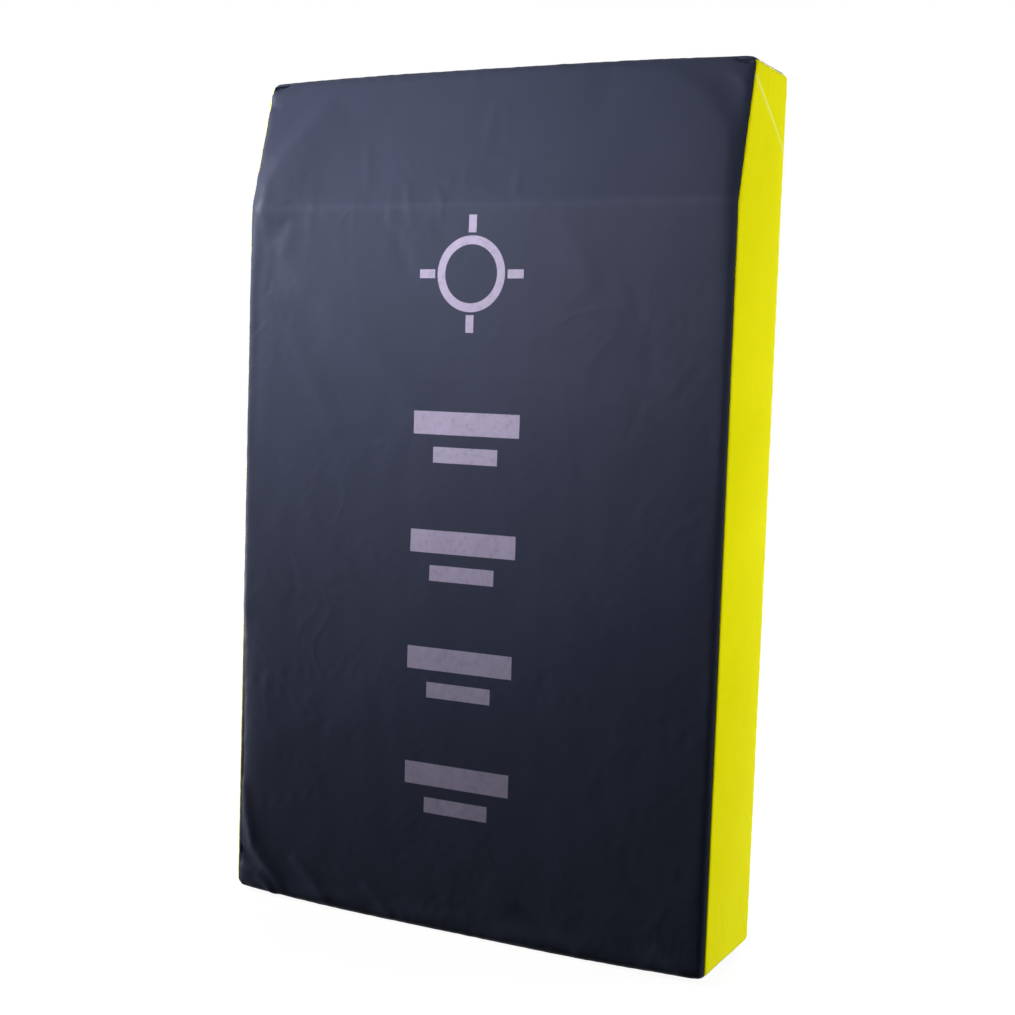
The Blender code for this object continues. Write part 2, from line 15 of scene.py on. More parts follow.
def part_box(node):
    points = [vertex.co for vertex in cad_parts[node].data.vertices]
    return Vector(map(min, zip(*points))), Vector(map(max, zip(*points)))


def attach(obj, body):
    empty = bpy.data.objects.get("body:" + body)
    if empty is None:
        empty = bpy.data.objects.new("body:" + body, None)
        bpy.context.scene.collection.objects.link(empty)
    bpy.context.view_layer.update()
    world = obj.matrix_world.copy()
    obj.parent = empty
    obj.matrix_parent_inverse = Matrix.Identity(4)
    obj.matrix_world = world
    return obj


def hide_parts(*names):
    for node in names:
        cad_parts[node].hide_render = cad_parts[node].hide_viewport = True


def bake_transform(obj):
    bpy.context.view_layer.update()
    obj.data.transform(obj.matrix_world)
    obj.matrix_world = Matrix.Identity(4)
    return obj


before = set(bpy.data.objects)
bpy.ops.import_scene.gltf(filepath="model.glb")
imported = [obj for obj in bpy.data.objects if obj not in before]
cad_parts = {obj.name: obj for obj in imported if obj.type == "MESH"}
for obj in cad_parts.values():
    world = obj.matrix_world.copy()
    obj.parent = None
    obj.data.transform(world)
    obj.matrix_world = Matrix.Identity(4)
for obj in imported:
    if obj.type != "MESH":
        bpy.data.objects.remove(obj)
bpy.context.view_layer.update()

bl_info = {
    "name": "Aerial contest bag",
    "version": (1, 0, 0),
    "blender": (4, 5, 0),
    "location": "3D View > Sidebar > Contest Bag",
    "description": "Builds the pieces of an aerial contest bag and its stage",
    "category": "Object",
}

# Sizes of the frame that the pieces follow, in metres
WIDTH = 0.75
DEPTH = 0.185
HEIGHT = 1.211
BEND_HEIGHT = 1.019
BEND_SOFTNESS = 0.008
TOP_LEAN = 0.051
FRONT_SLOPE = TOP_LEAN / (HEIGHT - BEND_HEIGHT)
FRONT_CROWN = 0.006
SIDE_CROWN = 0.003
TOP_CROWN = 0.003
CORNER_LIFT = 0.007
TOP_CORNER_DROP = 0.004
SAG_REACH = 0.25
FLAT_SHARE = 0.3
COVER = 0.001
GAP = 0.0003
SEAM_ALLOWANCE = 0.004
ZIP_HEIGHT = 0.13
ZIP_REACH = 0.3256
ZIP_WINDOW = 0.016
VENT_SPREAD = 0.56
VENT_HOLE = 0.007
VENT_HEIGHT = sum(corner.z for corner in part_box("vent_eyelet_left")) / 2
HALF = Vector((WIDTH / 2, DEPTH / 2, HEIGHT / 2))
MIDDLE = Vector((0, 0, HEIGHT / 2))
SEAM_SHIFT = GAP / math.sqrt(2)
BACK_OUT = DEPTH / 2 + SEAM_SHIFT
PATCH_FACE = BACK_OUT + GAP + COVER
# Points closer than this are one point
SAME_PLACE = 0.00002
# The stuffed cover rounds off more than the frame's 8 mm, and the front wraps farther round its edges
SEAM_RADIUS = 0.012
FRONT_WRAP = math.radians(62)
ROLL_STEPS = 3
# Lines of the mesh that follow the bend, so that it shows as one clean fold
BEND_ROWS = (BEND_HEIGHT - 0.006, BEND_HEIGHT + 0.006)
# Each panel of the cover: the axis that it faces along, and which way
PANELS = {
    "front_panel": (1, -1), "back_panel": (1, 1), "left_side_panel": (0, -1),
    "right_side_panel": (0, 1), "top_panel": (2, 1), "base_panel": (2, -1),
}
# What keeps the back calm: half sizes round the zip, the vents and the patches, the patches' middles, how far
# the calm fades out, how deep the back reaches, and how freely it moves beside the other panels
CALM_ZIP = (0.345, 0.03)
CALM_VENT = 0.018
CALM_PATCH = (0.125, 0.05)
PATCH_ASIDE = 0.186
PATCH_HEIGHTS = (0.499, 0.821)
CALM_FADE = 0.03
BACK_REGION = 0.02
BACK_SHARE = 0.6


def linear(hex_code):
    """The linear colour of an sRGB hex value."""
    parts = [int(hex_code[k:k + 2], 16) / 255 for k in (1, 3, 5)]
    return tuple(c / 12.92 if c <= 0.04045 else ((c + 0.055) / 1.055) ** 2.4 for c in parts)


def colour(name, hex_code, text):
    """A colour that a user may change."""
    return FloatVectorProperty(
        name=name, description=text, default=linear(hex_code), subtype="COLOR", size=3, min=0.0, max=1.0
    )


def number(name, value, text, unit="NONE"):
    """A number that a user may change."""
    return FloatProperty(name=name, description=text, default=value, unit=unit, precision=4)


class CoverSettings(PropertyGroup):
    """Colours and sizes of the sewn cover."""

    navy: colour("Navy", "#282D3C", "Front, top, base and back of the cover")
    lime: colour("Lime", "#E0DC00", "Both side panels")
    # Crease colour: a painted highlight along the fold near the top of the right side
    crease: colour("Crease", "#E3E27E", "Whitened line of an old fold in the lime cloth")
    print_ink: colour("Print", "#7C7990", "Marks printed on the front")
    spacing: number("Mesh spacing", 0.009, "Distance between a panel's first lines", "LENGTH")
    slack: number("Slack", 0.006, "Share by which the cover is larger than the foam")
    pressure: number("Pressure", 3.0, "Push of the foam on the simulated cover")
    drift: number("Drift", 0.003, "Farthest that the simulated cover may leave its place", "LENGTH")


class FoamSettings(PropertyGroup):
    """Colours of the laminated block."""

    soft: colour("Soft foam", "#C3C5CC", "Open-cell core")
    firm: colour("Firm foam", "#5E6C93", "Reconstituted striking and backing sheets")


class ZipSettings(PropertyGroup):
    """Colours of the zip."""

    tape: colour("Tape", "#1B1D22", "Woven tapes")
    teeth: colour("Teeth", "#202227", "Moulded teeth")
    metal: colour("Metal", "#26282D", "Slider, puller and stops")


class VentSettings(PropertyGroup):
    """Colour of the vent eyelets."""

    nickel: colour("Nickel", "#C9C5BC", "Nickel plating")


class LoopSettings(PropertyGroup):
    """Colours of the carrying loops and the thread."""

    webbing: colour("Webbing", "#24262C", "Webbing and binding tape")
    sleeve: colour("Sleeve", "#2B3144", "Cloth of the padded sleeves")
    thread: colour("Thread", "#5A6178", "Stitching")


class StageSettings(PropertyGroup):
    """Floor, lamps and camera."""

    floor: colour("Floor", "#F4F4F2", "Pale studio floor")
    key: number("Key lamp", 6.4, "Power of the lamp above the front", "POWER")
    side: number("Side lamps", 48.0, "Power of the lamps beside the bag", "POWER")
    rear: number("Rear lamps", 40.0, "Power of the lamps behind the bag", "POWER")
    lens: number("Lens", 57.85, "Focal length in millimetres", "CAMERA")


class ContestBagSettings(PropertyGroup):
    """Everything that a user may change."""

    cover: PointerProperty(type=CoverSettings)
    foam: PointerProperty(type=FoamSettings)
    zip: PointerProperty(type=ZipSettings)
    vents: PointerProperty(type=VentSettings)
    loops: PointerProperty(type=LoopSettings)
    stage: PointerProperty(type=StageSettings)


def feed(tree, node, sockets):
    """Links the sockets of a node to other sockets, or sets them, by their names or in their order."""
    for name, value in sockets.items() if isinstance(sockets, dict) else enumerate(sockets):
        socket = node.inputs[name]
        if isinstance(value, bpy.types.NodeSocket):
            tree.links.new(value, socket)
        elif hasattr(value, "__len__") and socket.type == "RGBA":
            socket.default_value = (*value[:3], 1.0)
        else:
            socket.default_value = value


def add(tree, kind, sockets=(), output=0, stops=(), **settings):
    """Adds a node with its settings, sockets and colour stops: gives one output, or all of them for None."""
    made = tree.nodes.new("ShaderNode" + kind)
    for name, value in settings.items():
        setattr(made, name, value)
    for k, (position, tint) in enumerate(stops):
        elements = made.color_ramp.elements
        stop = elements[k] if k < len(elements) else elements.new(position)
        stop.position = position
        stop.color = (*tint, 1.0)
    feed(tree, made, sockets)
    return made.outputs if output is None else made.outputs[output]


def sum_of(tree, terms):
    """The sum of several sockets."""
    total = terms[0]
    for term in terms[1:]:
        total = add(tree, "Math", (total, term), operation="ADD")
    return total


def distance_from(tree, value, middle, half):
    """How far a value lies outside a band about its middle: negative inside it."""
    off = add(tree, "Math", (value, middle), operation="SUBTRACT")
    off = add(tree, "Math", (off,), operation="ABSOLUTE")
    return add(tree, "Math", (off, half), operation="SUBTRACT")


def new_material(name, sockets):
    """A material with one Principled shader, and its node tree and shader."""
    made = bpy.data.materials.new(name)
    made.use_nodes = True
    shader = made.node_tree.nodes["Principled BSDF"]
    feed(made.node_tree, shader, sockets)
    return made, made.node_tree, shader


def shade(tint, factor):
    """A lighter or darker tone of a colour."""
    return tuple(min(1.0, c * factor) for c in tint)


def marks_on_front(tree, place, tone, ink):
    """Worn screen print: an aiming ring with four ticks, over four long bars, each with a short one below."""
    line, ring_height, ring, tick_middle, tick_half = 0.006, 0.925, 0.046, 0.068, 0.012
    first_row, spacing, rows = 0.70, 0.165, 4
    # Height over the middle of its row, half height and half width
    bars = ((0.020, 0.016, 0.082), (-0.024, 0.011, 0.050))
    blur, thinnest = 0.0003, 0.72
    flat = add(tree, "VectorMath", (place, (0.0, 0.0, ring_height)), operation="SUBTRACT")
    flat = add(tree, "VectorMath", (flat, (1.0, 0.0, 1.0)), operation="MULTIPLY")
    sides = add(tree, "VectorMath", (flat,), operation="ABSOLUTE")
    x, _, z = add(tree, "SeparateXYZ", (sides,), None)
    aside = distance_from(tree, add(tree, "Math", (x, z), operation="MINIMUM"), 0.0, line)
    along = distance_from(tree, add(tree, "Math", (x, z), operation="MAXIMUM"), tick_middle, tick_half)
    from_tick = add(tree, "Math", (aside, along), operation="MAXIMUM")
    from_middle = add(tree, "VectorMath", (flat,), "Value", operation="LENGTH")
    from_ring = distance_from(tree, from_middle, ring, line)
    nearest = add(tree, "Math", (from_ring, from_tick), operation="MINIMUM")
    x, _, z = add(tree, "SeparateXYZ", (place,), None)
    level = add(tree, "Math", (z, first_row), operation="SUBTRACT")
    level = add(tree, "Math", (level, spacing / 2, -spacing / 2), operation="WRAP")
    from_rows = distance_from(tree, z, first_row - spacing * (rows - 1) / 2, spacing * rows / 2)
    for height, half_height, half_width in bars:
        above = distance_from(tree, level, height, half_height)
        beside = distance_from(tree, x, 0.0, half_width)
        from_bar = add(tree, "Math", (above, beside), operation="MAXIMUM")
        from_bar = add(tree, "Math", (from_bar, from_rows), operation="MAXIMUM")
        nearest = add(tree, "Math", (nearest, from_bar), operation="MINIMUM")
    inked = add(tree, "MapRange", (nearest, -blur, blur, 1.0, 0.0))
    # Rubbed spots a few millimetres across, where the ink has thinned
    rub = {"Vector": place, "Scale": 130.0, "Detail": 6.0, "Roughness": 0.75}
    left = add(tree, "MapRange", (add(tree, "TexNoise", rub, "Fac"), 0.3, 0.5, thinnest, 1.0))
    share = add(tree, "Math", (inked, left), operation="MULTIPLY")
    return add(tree, "Mix", {"Factor": share, "A": tone, "B": ink}, "Result", data_type="RGBA")


def painted_bend_highlight(tree, place, tone):
    """The faint paler line along the bend, patchy along its length: a painted highlight."""
    half_width, faintest, strongest = 0.011, 0.05, 0.16
    from_bend = distance_from(tree, add(tree, "SeparateXYZ", (place,), "Z"), BEND_HEIGHT, 0.0)
    line = add(tree, "MapRange", (from_bend, 0.0, half_width, 1.0, 0.0), interpolation_type="SMOOTHSTEP")
    patches = add(tree, "TexNoise", {"Vector": place, "Scale": 22.0, "Detail": 2.0}, "Fac")
    strength = add(tree, "MapRange", (patches, 0.35, 0.65, faintest, strongest))
    share = add(tree, "Math", (line, strength, 1.0), operation="MULTIPLY_ADD")
    return add(tree, "VectorMath", {0: tone, "Scale": share}, operation="SCALE")


def print_and_bend_highlight(tree, place, tone, ink):
    """The front's colours: the print over a painted highlight along the bend."""
    return marks_on_front(tree, place, painted_bend_highlight(tree, place, tone), ink)


def pleats_at_bend(tree, place):
    """Upright pleats across the fold of the front, about 30 mm apart, most of them faint."""
    rise = 0.0006
    drawn_out = add(tree, "VectorMath", (place, (28.0, 0.0, 6.0)), operation="MULTIPLY")
    field = add(tree, "TexNoise", {"Vector": drawn_out, "Scale": 1.0, "Detail": 1.0}, "Fac")
    lift = add(tree, "MapRange", (field, 0.48, 0.8, 0.0, rise), interpolation_type="SMOOTHSTEP")
    x, _, z = add(tree, "SeparateXYZ", (place,), None)
    # They are plainest left of the middle
    side = add(tree, "MapRange", (x, -0.02, 0.14, 1.0, 0.3), interpolation_type="SMOOTHSTEP")
    from_bend = distance_from(tree, z, BEND_HEIGHT, 0.0)
    near = add(tree, "MapRange", (from_bend, 0.012, 0.085, 1.0, 0.0), interpolation_type="SMOOTHSTEP")
    lift = add(tree, "Math", (lift, side), operation="MULTIPLY")
    return add(tree, "Math", (lift, near), operation="MULTIPLY")


def painted_crease_highlight(tree, place, tone, highlight_tint):
    """A painted highlight: the pale line along the fold near the top of the right side."""
    slope, level, half_width, raggedness, strength = 0.623, 1.1536, 0.0045, 0.004, 0.8
    x, y, z = add(tree, "SeparateXYZ", (place,), None)
    across = add(tree, "Math", (y, slope, z), operation="MULTIPLY_ADD")
    ragged = add(tree, "TexNoise", {"Vector": place, "Scale": 60.0, "Detail": 3.0}, "Fac")
    ragged = add(tree, "Math", (ragged, raggedness), operation="MULTIPLY")
    off = add(tree, "Math", (distance_from(tree, across, level, -0.0015), ragged), operation="SUBTRACT")
    line = add(tree, "MapRange", (off, -0.001, half_width, strength, 0.0), interpolation_type="SMOOTHSTEP")
    right = add(tree, "Math", (x, 0.0), operation="GREATER_THAN")
    share = add(tree, "Math", (line, right), operation="MULTIPLY")
    return add(tree, "Mix", {"Factor": share, "A": tone, "B": highlight_tint}, "Result", data_type="RGBA")


def coated_fabric(name, base, specular, crease, own_relief=None, print_and_highlights=None, tint=None):
    """PVC-coated polyester, embossed: a satin skin that mottles, rumples and shows its base weave."""
    made, tree, shader = new_material(name, {"IOR": 1.5, "Specular IOR Level": specular})
    place = add(tree, "TexCoord", (), "Object")
    clouds = {"Vector": place, "Scale": 4.5, "Detail": 5.0, "Roughness": 0.62, "Distortion": 0.4}
    mottle = add(tree, "TexNoise", clouds, "Fac")
    tones = {"Factor": mottle, "A": shade(base, 0.88), "B": shade(base, 1.12)}
    tone = add(tree, "Mix", tones, "Result", data_type="RGBA")
    # Some panels add their print and painted highlights to the tone here
    if print_and_highlights is not None:
        tone = print_and_highlights(tree, place, tone, tint)
    # A base weave of 0.7 mm threads shows through the coating, drawn at 1.8 mm to be seen at all
    threads = []
    for part in add(tree, "SeparateXYZ", (place,), None):
        turns = add(tree, "Math", (part, math.tau / 0.0018), operation="MULTIPLY")
        threads.append(add(tree, "Math", (turns,), operation="SINE"))
    weave = add(tree, "Math", (sum_of(tree, threads), 0.000008), operation="MULTIPLY")
    # Soft rumples about 80 mm apart, gathered in patches, with finer ones on them
    wide = {"Vector": place, "Scale": 12.0, "Detail": 1.6, "Roughness": 0.45, "Distortion": 0.7}
    off = distance_from(tree, add(tree, "TexNoise", wide, "Fac"), 0.5, 0.0)
    line = add(tree, "MapRange", (off, 0.0, 0.15, crease, 0.0), interpolation_type="SMOOTHSTEP")
    fine = add(tree, "TexNoise", {"Vector": place, "Scale": 42.0, "Detail": 2.0, "Roughness": 0.4}, "Fac")
    fine = add(tree, "Math", (fine, crease * 0.6), operation="MULTIPLY")
    patch = add(tree, "TexNoise", {"Vector": place, "Scale": 3.1, "Detail": 1.0}, "Fac")
    patch = add(tree, "MapRange", (patch, 0.42, 0.66, 0.25, 1.0), interpolation_type="SMOOTHSTEP")
    rumple = add(tree, "Math", (sum_of(tree, [line, fine]), patch), operation="MULTIPLY")
    grain = add(tree, "TexNoise", {"Vector": place, "Scale": 620.0, "Detail": 2.0}, "Fac")
    reliefs = [weave, rumple, add(tree, "Math", (grain, 0.00005), operation="MULTIPLY")]
    if own_relief is not None:
        reliefs.append(own_relief(tree, place))
    feed(tree, shader, {
        "Base Color": tone,
        "Roughness": add(tree, "MapRange", (mottle, 0.3, 0.7, 0.47, 0.39)),
        "Normal": add(tree, "Bump", {"Height": sum_of(tree, reliefs), "Distance": 1.0}),
    })
    return made


def foam_finish(name, base, cell):
    """Open-cell polyurethane foam, cut from a block: a dull skin of broken cells."""
    made, tree, shader = new_material(name, {"Roughness": 0.95, "IOR": 1.45, "Specular IOR Level": 0.2})
    place = add(tree, "TexCoord", (), "Object")
    cells = add(tree, "TexVoronoi", {"Vector": place, "Scale": 1 / cell}, "Distance")
    # The hollows of the cells are darker: painted shade
    feed(tree, shader, {
        "Base Color": add(tree, "ValToRGB", (cells,), stops=((0.0, shade(base, 0.55)), (1.0, base))),
        "Normal": add(tree, "Bump", {"Height": cells, "Distance": cell * 0.4}),
    })
    return made


def woven(name, base, yarn, chevron, height, coordinate="UV"):
    """Woven polypropylene or polyester tape: dull ribs in a herringbone, laid along the strap."""
    sockets = {"IOR": 1.49, "Specular IOR Level": 0.25, "Roughness": 0.75, "Sheen Weight": 0.15}
    made, tree, shader = new_material(name, sockets)
    place = add(tree, "TexCoord", (), coordinate)
    parts = add(tree, "SeparateXYZ", (place,), None)
    across, along = (parts["X"], parts["Y"]) if coordinate == "UV" else (parts["Z"], parts["X"])
    slant = add(tree, "Math", (across, chevron), operation="DIVIDE")
    slant = add(tree, "Math", (slant,), operation="FRACT")
    slant = add(tree, "Math", (slant, 0.5), operation="SUBTRACT")
    slant = add(tree, "Math", (slant,), operation="ABSOLUTE")
    slant = add(tree, "Math", (slant, chevron / yarn), operation="MULTIPLY")
    rows = add(tree, "Math", (along, yarn), operation="DIVIDE")
    rows = add(tree, "Math", (rows, slant), operation="ADD")
    wave = add(tree, "Math", (rows, math.pi), operation="MULTIPLY")
    wave = add(tree, "Math", (wave,), operation="SINE")
    wave = add(tree, "Math", (wave,), operation="ABSOLUTE")
    fuzz = add(tree, "TexNoise", {"Vector": place, "Scale": 900.0, "Detail": 2.0, "Roughness": 0.7}, "Fac")
    fuzz = add(tree, "Math", (fuzz, 0.35), operation="MULTIPLY")
    relief = add(tree, "Math", (wave, fuzz), operation="ADD")
    # The grooves between the ribs are darker and the ribs' crowns lighter: painted shade and painted highlight
    stops = ((0.1, shade(base, 0.35)), (1.0, shade(base, 1.25)))
    feed(tree, shader, {
        "Base Color": add(tree, "ValToRGB", (relief,), stops=stops),
        "Normal": add(tree, "Bump", {"Height": relief, "Distance": height}),
    })
    return made


def hard_finish(name, base, sockets, spot, relief, wear=None):
    """A hard surface with cloudy gloss and fine unevenness, and worn spots where it has a wear colour."""
    made, tree, shader = new_material(name, sockets)
    place = add(tree, "TexCoord", (), "Object")
    clouds = {"Vector": place, "Scale": 1 / spot, "Detail": 4.0, "Roughness": 0.6}
    spots = add(tree, "TexNoise", clouds, "Fac")
    rough = sockets["Roughness"]
    stops = [(0.3, shade(base, 0.85)), (0.7, shade(base, 1.1))]
    if wear is not None:
        stops.append((0.78, wear))
    feed(tree, shader, {
        "Base Color": add(tree, "ValToRGB", (spots,), stops=stops),
        "Roughness": add(tree, "MapRange", (spots, 0.3, 0.7, rough * 0.8, rough * 1.3)),
        "Normal": add(tree, "Bump", {"Height": spots, "Distance": relief}),
    })
    return made


def thread_finish(settings):
    """Bonded polyester thread, twisted: a dull line with a slight sheen."""
    sockets = {"Roughness": 0.6, "IOR": 1.5, "Specular IOR Level": 0.3}
    return hard_finish("Bonded polyester thread", settings.thread, sockets, 0.0008, 0.0001)


def smooth(value):
    """An easy step from 0 to 1."""
    value = max(0.0, min(1.0, value))
    return value * value * (3 - 2 * value)


def front_depth(height):
    """Where the flat front would lie at a height: upright, then leaning back above the bend."""
    return FRONT_SLOPE * max(0.0, height - BEND_HEIGHT) - HALF.y


def settle(point):
    """Moves a point of the straight slab to its place in the stuffed one."""
    x, y, z = point
    across, along = x / HALF.x, (z - HALF.z) / HALF.z
    from_back = (HALF.y - y) / DEPTH
    wide = max(0.0, 1 - across**2)
    deep = max(0.0, 1 - (y / HALF.y) ** 2)
    tall = max(0.0, 1 - along**2)
    past = z - BEND_HEIGHT
    if abs(past) < BEND_SOFTNESS:
        back = FRONT_SLOPE * (past + BEND_SOFTNESS) ** 2 / (4 * BEND_SOFTNESS)
    else:
        back = FRONT_SLOPE * max(0.0, past)
    corner = max(0.0, (abs(across) - FLAT_SHARE) / (1 - FLAT_SHARE)) ** 2
    low = max(0.0, 1 - max(z, 0.0) / SAG_REACH) ** 2
    high = max(0.0, 1 - max(HEIGHT - z, 0.0) / SAG_REACH) ** 2
    rise = CORNER_LIFT * corner * low + (TOP_CROWN * wide * deep - TOP_CORNER_DROP * corner) * high
    return Vector((
        x + SIDE_CROWN * deep * tall * across,
        y + (back - FRONT_CROWN * wide * tall) * from_back,
        z + SEAM_SHIFT + rise,
    ))


def from_bmesh(name, bm, finish, angle=45):
    """An object at the origin from a bmesh, smooth where its faces meet at less than this angle."""
    mesh = bpy.data.meshes.new(name)
    bm.to_mesh(mesh)
    bm.free()
    mesh.shade_smooth()
    mesh.set_sharp_from_angle(angle=math.radians(angle))
    mesh.materials.append(finish)
    made = bpy.data.objects.new(name, mesh)
    bpy.context.scene.collection.objects.link(made)
    return made


def applied(obj):
    """Makes the result of an object's modifiers its mesh."""
    mesh = bpy.data.meshes.new_from_object(obj.evaluated_get(bpy.context.evaluated_depsgraph_get()))
    obj.modifiers.clear()
    old = obj.data
    obj.data = mesh
    bpy.data.meshes.remove(old)
    return obj


def thicken(obj, name, thickness, offset):
    """Gives a sheet its thickness: inward at -1, to both sides at 0, outward at 1."""
    wall = obj.modifiers.new(name, "SOLIDIFY")
    wall.thickness = thickness
    wall.offset = offset
    return wall


def round_off(obj, name, width, segments, sharper_than=None):
    """Rounds the edges of a piece, where an angle is given only those sharper than that."""
    edge = obj.modifiers.new(name, "BEVEL")
    edge.width = width
    edge.segments = segments
    if sharper_than is not None:
        edge.limit_method = "ANGLE"
        edge.angle_limit = math.radians(sharper_than)


def dressed(piece, body, kind, *nodes):
    """Parents a piece to the empty of the body that it moves with, and hides the nodes that it stands for."""
    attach(piece, body)
    if nodes:
        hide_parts(*nodes)


def wrap(panel, neighbour):
    """How far a panel rolls round its edge towards a neighbour."""
    if panel == PANELS["front_panel"]:
        return FRONT_WRAP
    if neighbour == PANELS["front_panel"]:
        return math.pi / 2 - FRONT_WRAP
    return math.pi / 4


def grid_lines(middle, half, spacing, wanted, dives, wraps):
    """Lines across a panel: rolled borders, an even spacing, and the lines that an opening needs."""
    flat_half = half - SEAM_RADIUS
    rolls = []
    for reach in wraps:
        turns = [reach * k / ROLL_STEPS for k in range(ROLL_STEPS + 1)]
        rolls.append([flat_half + SEAM_RADIUS * math.tan(turn) for turn in turns])
        if dives:
            rolls[-1].append(rolls[-1][-1])
    steps = max(2, round(2 * flat_half / spacing))
    inside = [-flat_half + 2 * flat_half * k / steps for k in range(1, steps)]
    for line in wanted:
        nearest = min(range(len(inside)), key=lambda k: abs(inside[k] - (line - middle)))
        inside[nearest] = line - middle
    low, high = rolls
    return [*[-line for line in reversed(low)], *inside, *high]


def panel_bmesh(axis, sign, spacing, wanted=((), (), BEND_ROWS), dives=True):
    """One face of the cover: its borders roll round the slab's edges and dive into the seams."""
    across, along = [k for k in range(3) if k != axis]
    normal = Vector([sign if k == axis else 0.0 for k in range(3)])
    columns, rows = [
        grid_lines(
            MIDDLE[k], HALF[k], spacing, wanted[k], dives,
            [wrap((axis, sign), (k, side)) for side in (-1, 1)],
        )
        for k in (across, along)
    ]
    bm = bmesh.new()
    bmesh.ops.create_grid(bm, x_segments=len(columns) - 1, y_segments=len(rows) - 1, size=1.0)
    inner = HALF - Vector((SEAM_RADIUS,) * 3)
    for vert in bm.verts:
        column = round((vert.co.x + 1) / 2 * (len(columns) - 1))
        row = round((vert.co.y + 1) / 2 * (len(rows) - 1))
        flat = Vector((0, 0, 0))
        flat[axis] = sign * HALF[axis]
        flat[across] = columns[column]
        flat[along] = rows[row]
        core = Vector([max(-inner[k], min(inner[k], flat[k])) for k in range(3)])
        at_seam = dives and (column in (0, len(columns) - 1) or row in (0, len(rows) - 1))
        radius = SEAM_RADIUS - (SEAM_ALLOWANCE if at_seam else 0.0)
        vert.co = settle(core + (flat - core).normalized() * radius + MIDDLE + normal * SEAM_SHIFT)
    bmesh.ops.remove_doubles(bm, verts=bm.verts, dist=GAP / 30)
    turned_to(bm, normal)
    return bm


def turned_to(bm, direction):
    """Turns an open sheet's faces so that they look this way."""
    bm.normal_update()
    if sum(face.normal.dot(direction) for face in bm.faces) < 0:
        bmesh.ops.reverse_faces(bm, faces=bm.faces)


def freedom(point, held=0.008, run=0.03):
    """How far a point of the cover may stray: 1 in the open, 0 near the seams and under the fittings."""
    x, y, z = point
    from_front = y + HALF.y - (TOP_LEAN if z >= BEND_HEIGHT else 0.0)
    nearest = min(HALF.x - abs(x), from_front, HALF.y - y)
    aside, behind, above = HALF.x - abs(x), HALF.y - y, min(z, HEIGHT - z)
    second = sorted((max(0.0, aside), max(0.0, behind), max(0.0, above), nearest))[1]
    free = smooth((second - held) / run)
    if y > HALF.y - BACK_REGION:
        at_zip = max(abs(x) - CALM_ZIP[0], abs(z - ZIP_HEIGHT) - CALM_ZIP[1])
        at_vents = math.hypot(abs(x) - VENT_SPREAD / 2, z - VENT_HEIGHT) - CALM_VENT
        level = min(abs(z - height) for height in PATCH_HEIGHTS)
        at_patches = max(abs(abs(x) - PATCH_ASIDE) - CALM_PATCH[0], level - CALM_PATCH[1])
        free *= smooth(min(at_zip, at_vents, at_patches) / CALM_FADE) * BACK_SHARE
    return free


# How much of its pinning the cover loses in the open, the simulation's steps, and how soon its drift counts
FREE_SHARE = 0.45
CLOTH_STEPS = 20
DRIFT_RISE = 1.5


def simulated_drift(settings):
    """Lets the whole cover buckle on its foam, held at its seams: returns each point's place and drift."""
    bm = bmesh.new()
    for axis, sign in PANELS.values():
        part = panel_bmesh(axis, sign, settings.spacing, dives=False)
        mesh = bpy.data.meshes.new("cover_part")
        part.to_mesh(mesh)
        part.free()
        bm.from_mesh(mesh)
        bpy.data.meshes.remove(mesh)
    bmesh.ops.remove_doubles(bm, verts=bm.verts, dist=2.5 * GAP)
    bmesh.ops.recalc_face_normals(bm, faces=bm.faces)
    mesh = bpy.data.meshes.new("cover_shell")
    bm.to_mesh(mesh)
    bm.free()
    shell = bpy.data.objects.new("cover_shell", mesh)
    bpy.context.scene.collection.objects.link(shell)
    held = shell.vertex_groups.new(name="held")
    for vert in mesh.vertices:
        held.add([vert.index], 1.0 - FREE_SHARE * freedom(vert.co), "REPLACE")
    rest = [vert.co.copy() for vert in mesh.vertices]
    cloth = shell.modifiers.new("cover", "CLOTH")
    fabric = cloth.settings
    fabric.quality = 4
    fabric.mass = 0.4
    fabric.tension_stiffness = 30
    fabric.compression_stiffness = 30
    fabric.shear_stiffness = 20
    fabric.bending_stiffness = 1.5
    fabric.shrink_min = -settings.slack
    fabric.use_pressure = True
    fabric.uniform_pressure_force = settings.pressure
    fabric.vertex_group_mass = held.name
    fabric.pin_stiffness = 1.0
    fabric.effector_weights.gravity = 0.0
    cloth.collision_settings.use_collision = False
    scene = bpy.context.scene
    for step in range(1, CLOTH_STEPS + 1):
        scene.frame_set(step)
    moved = shell.evaluated_get(bpy.context.evaluated_depsgraph_get()).data
    drifts = []
    for vert, place in zip(moved.vertices, rest):
        drift = vert.co - place
        if drift.length > settings.drift:
            drift = drift.normalized() * settings.drift
        drifts.append(drift * min(1.0, freedom(place) * DRIFT_RISE))
    scene.frame_set(1)
    bpy.data.objects.remove(shell)
    return rest, drifts


def fold(height, width, *path, inner=None):
    """A fold along a path, given in millimetres, as what ridge reads, which is in metres."""
    points = [Vector((a / 1000, b / 1000)) for a, b in path]
    return points, height / 1000, width / 1000, inner and inner / 1000


def ridge(point, path, height, width, inner):
    """The height at a point of a soft fold along a path, which fades to both of its ends.

    With an inner width, the fold falls away at that width on the side to the left of its path.
    """
    nearest, found, inside = math.inf, 0.0, False
    for k, (start, end) in enumerate(zip(path, path[1:])):
        share = max(0.0, min(1.0, intersect_point_line(point, start, end)[1]))
        off = point - start.lerp(end, share)
        if off.length < nearest:
            nearest, found = off.length, (k + share) / (len(path) - 1)
            along = end - start
            inside = along.x * off.y - along.y * off.x > 0
    fading = 0.5 if inner is None else 0.8
    if inner is not None and inside:
        width = inner
    if nearest > 3 * width:
        return 0.0
    return height * math.exp(-((nearest / width) ** 2)) * max(0.0, math.sin(math.pi * found)) ** fading


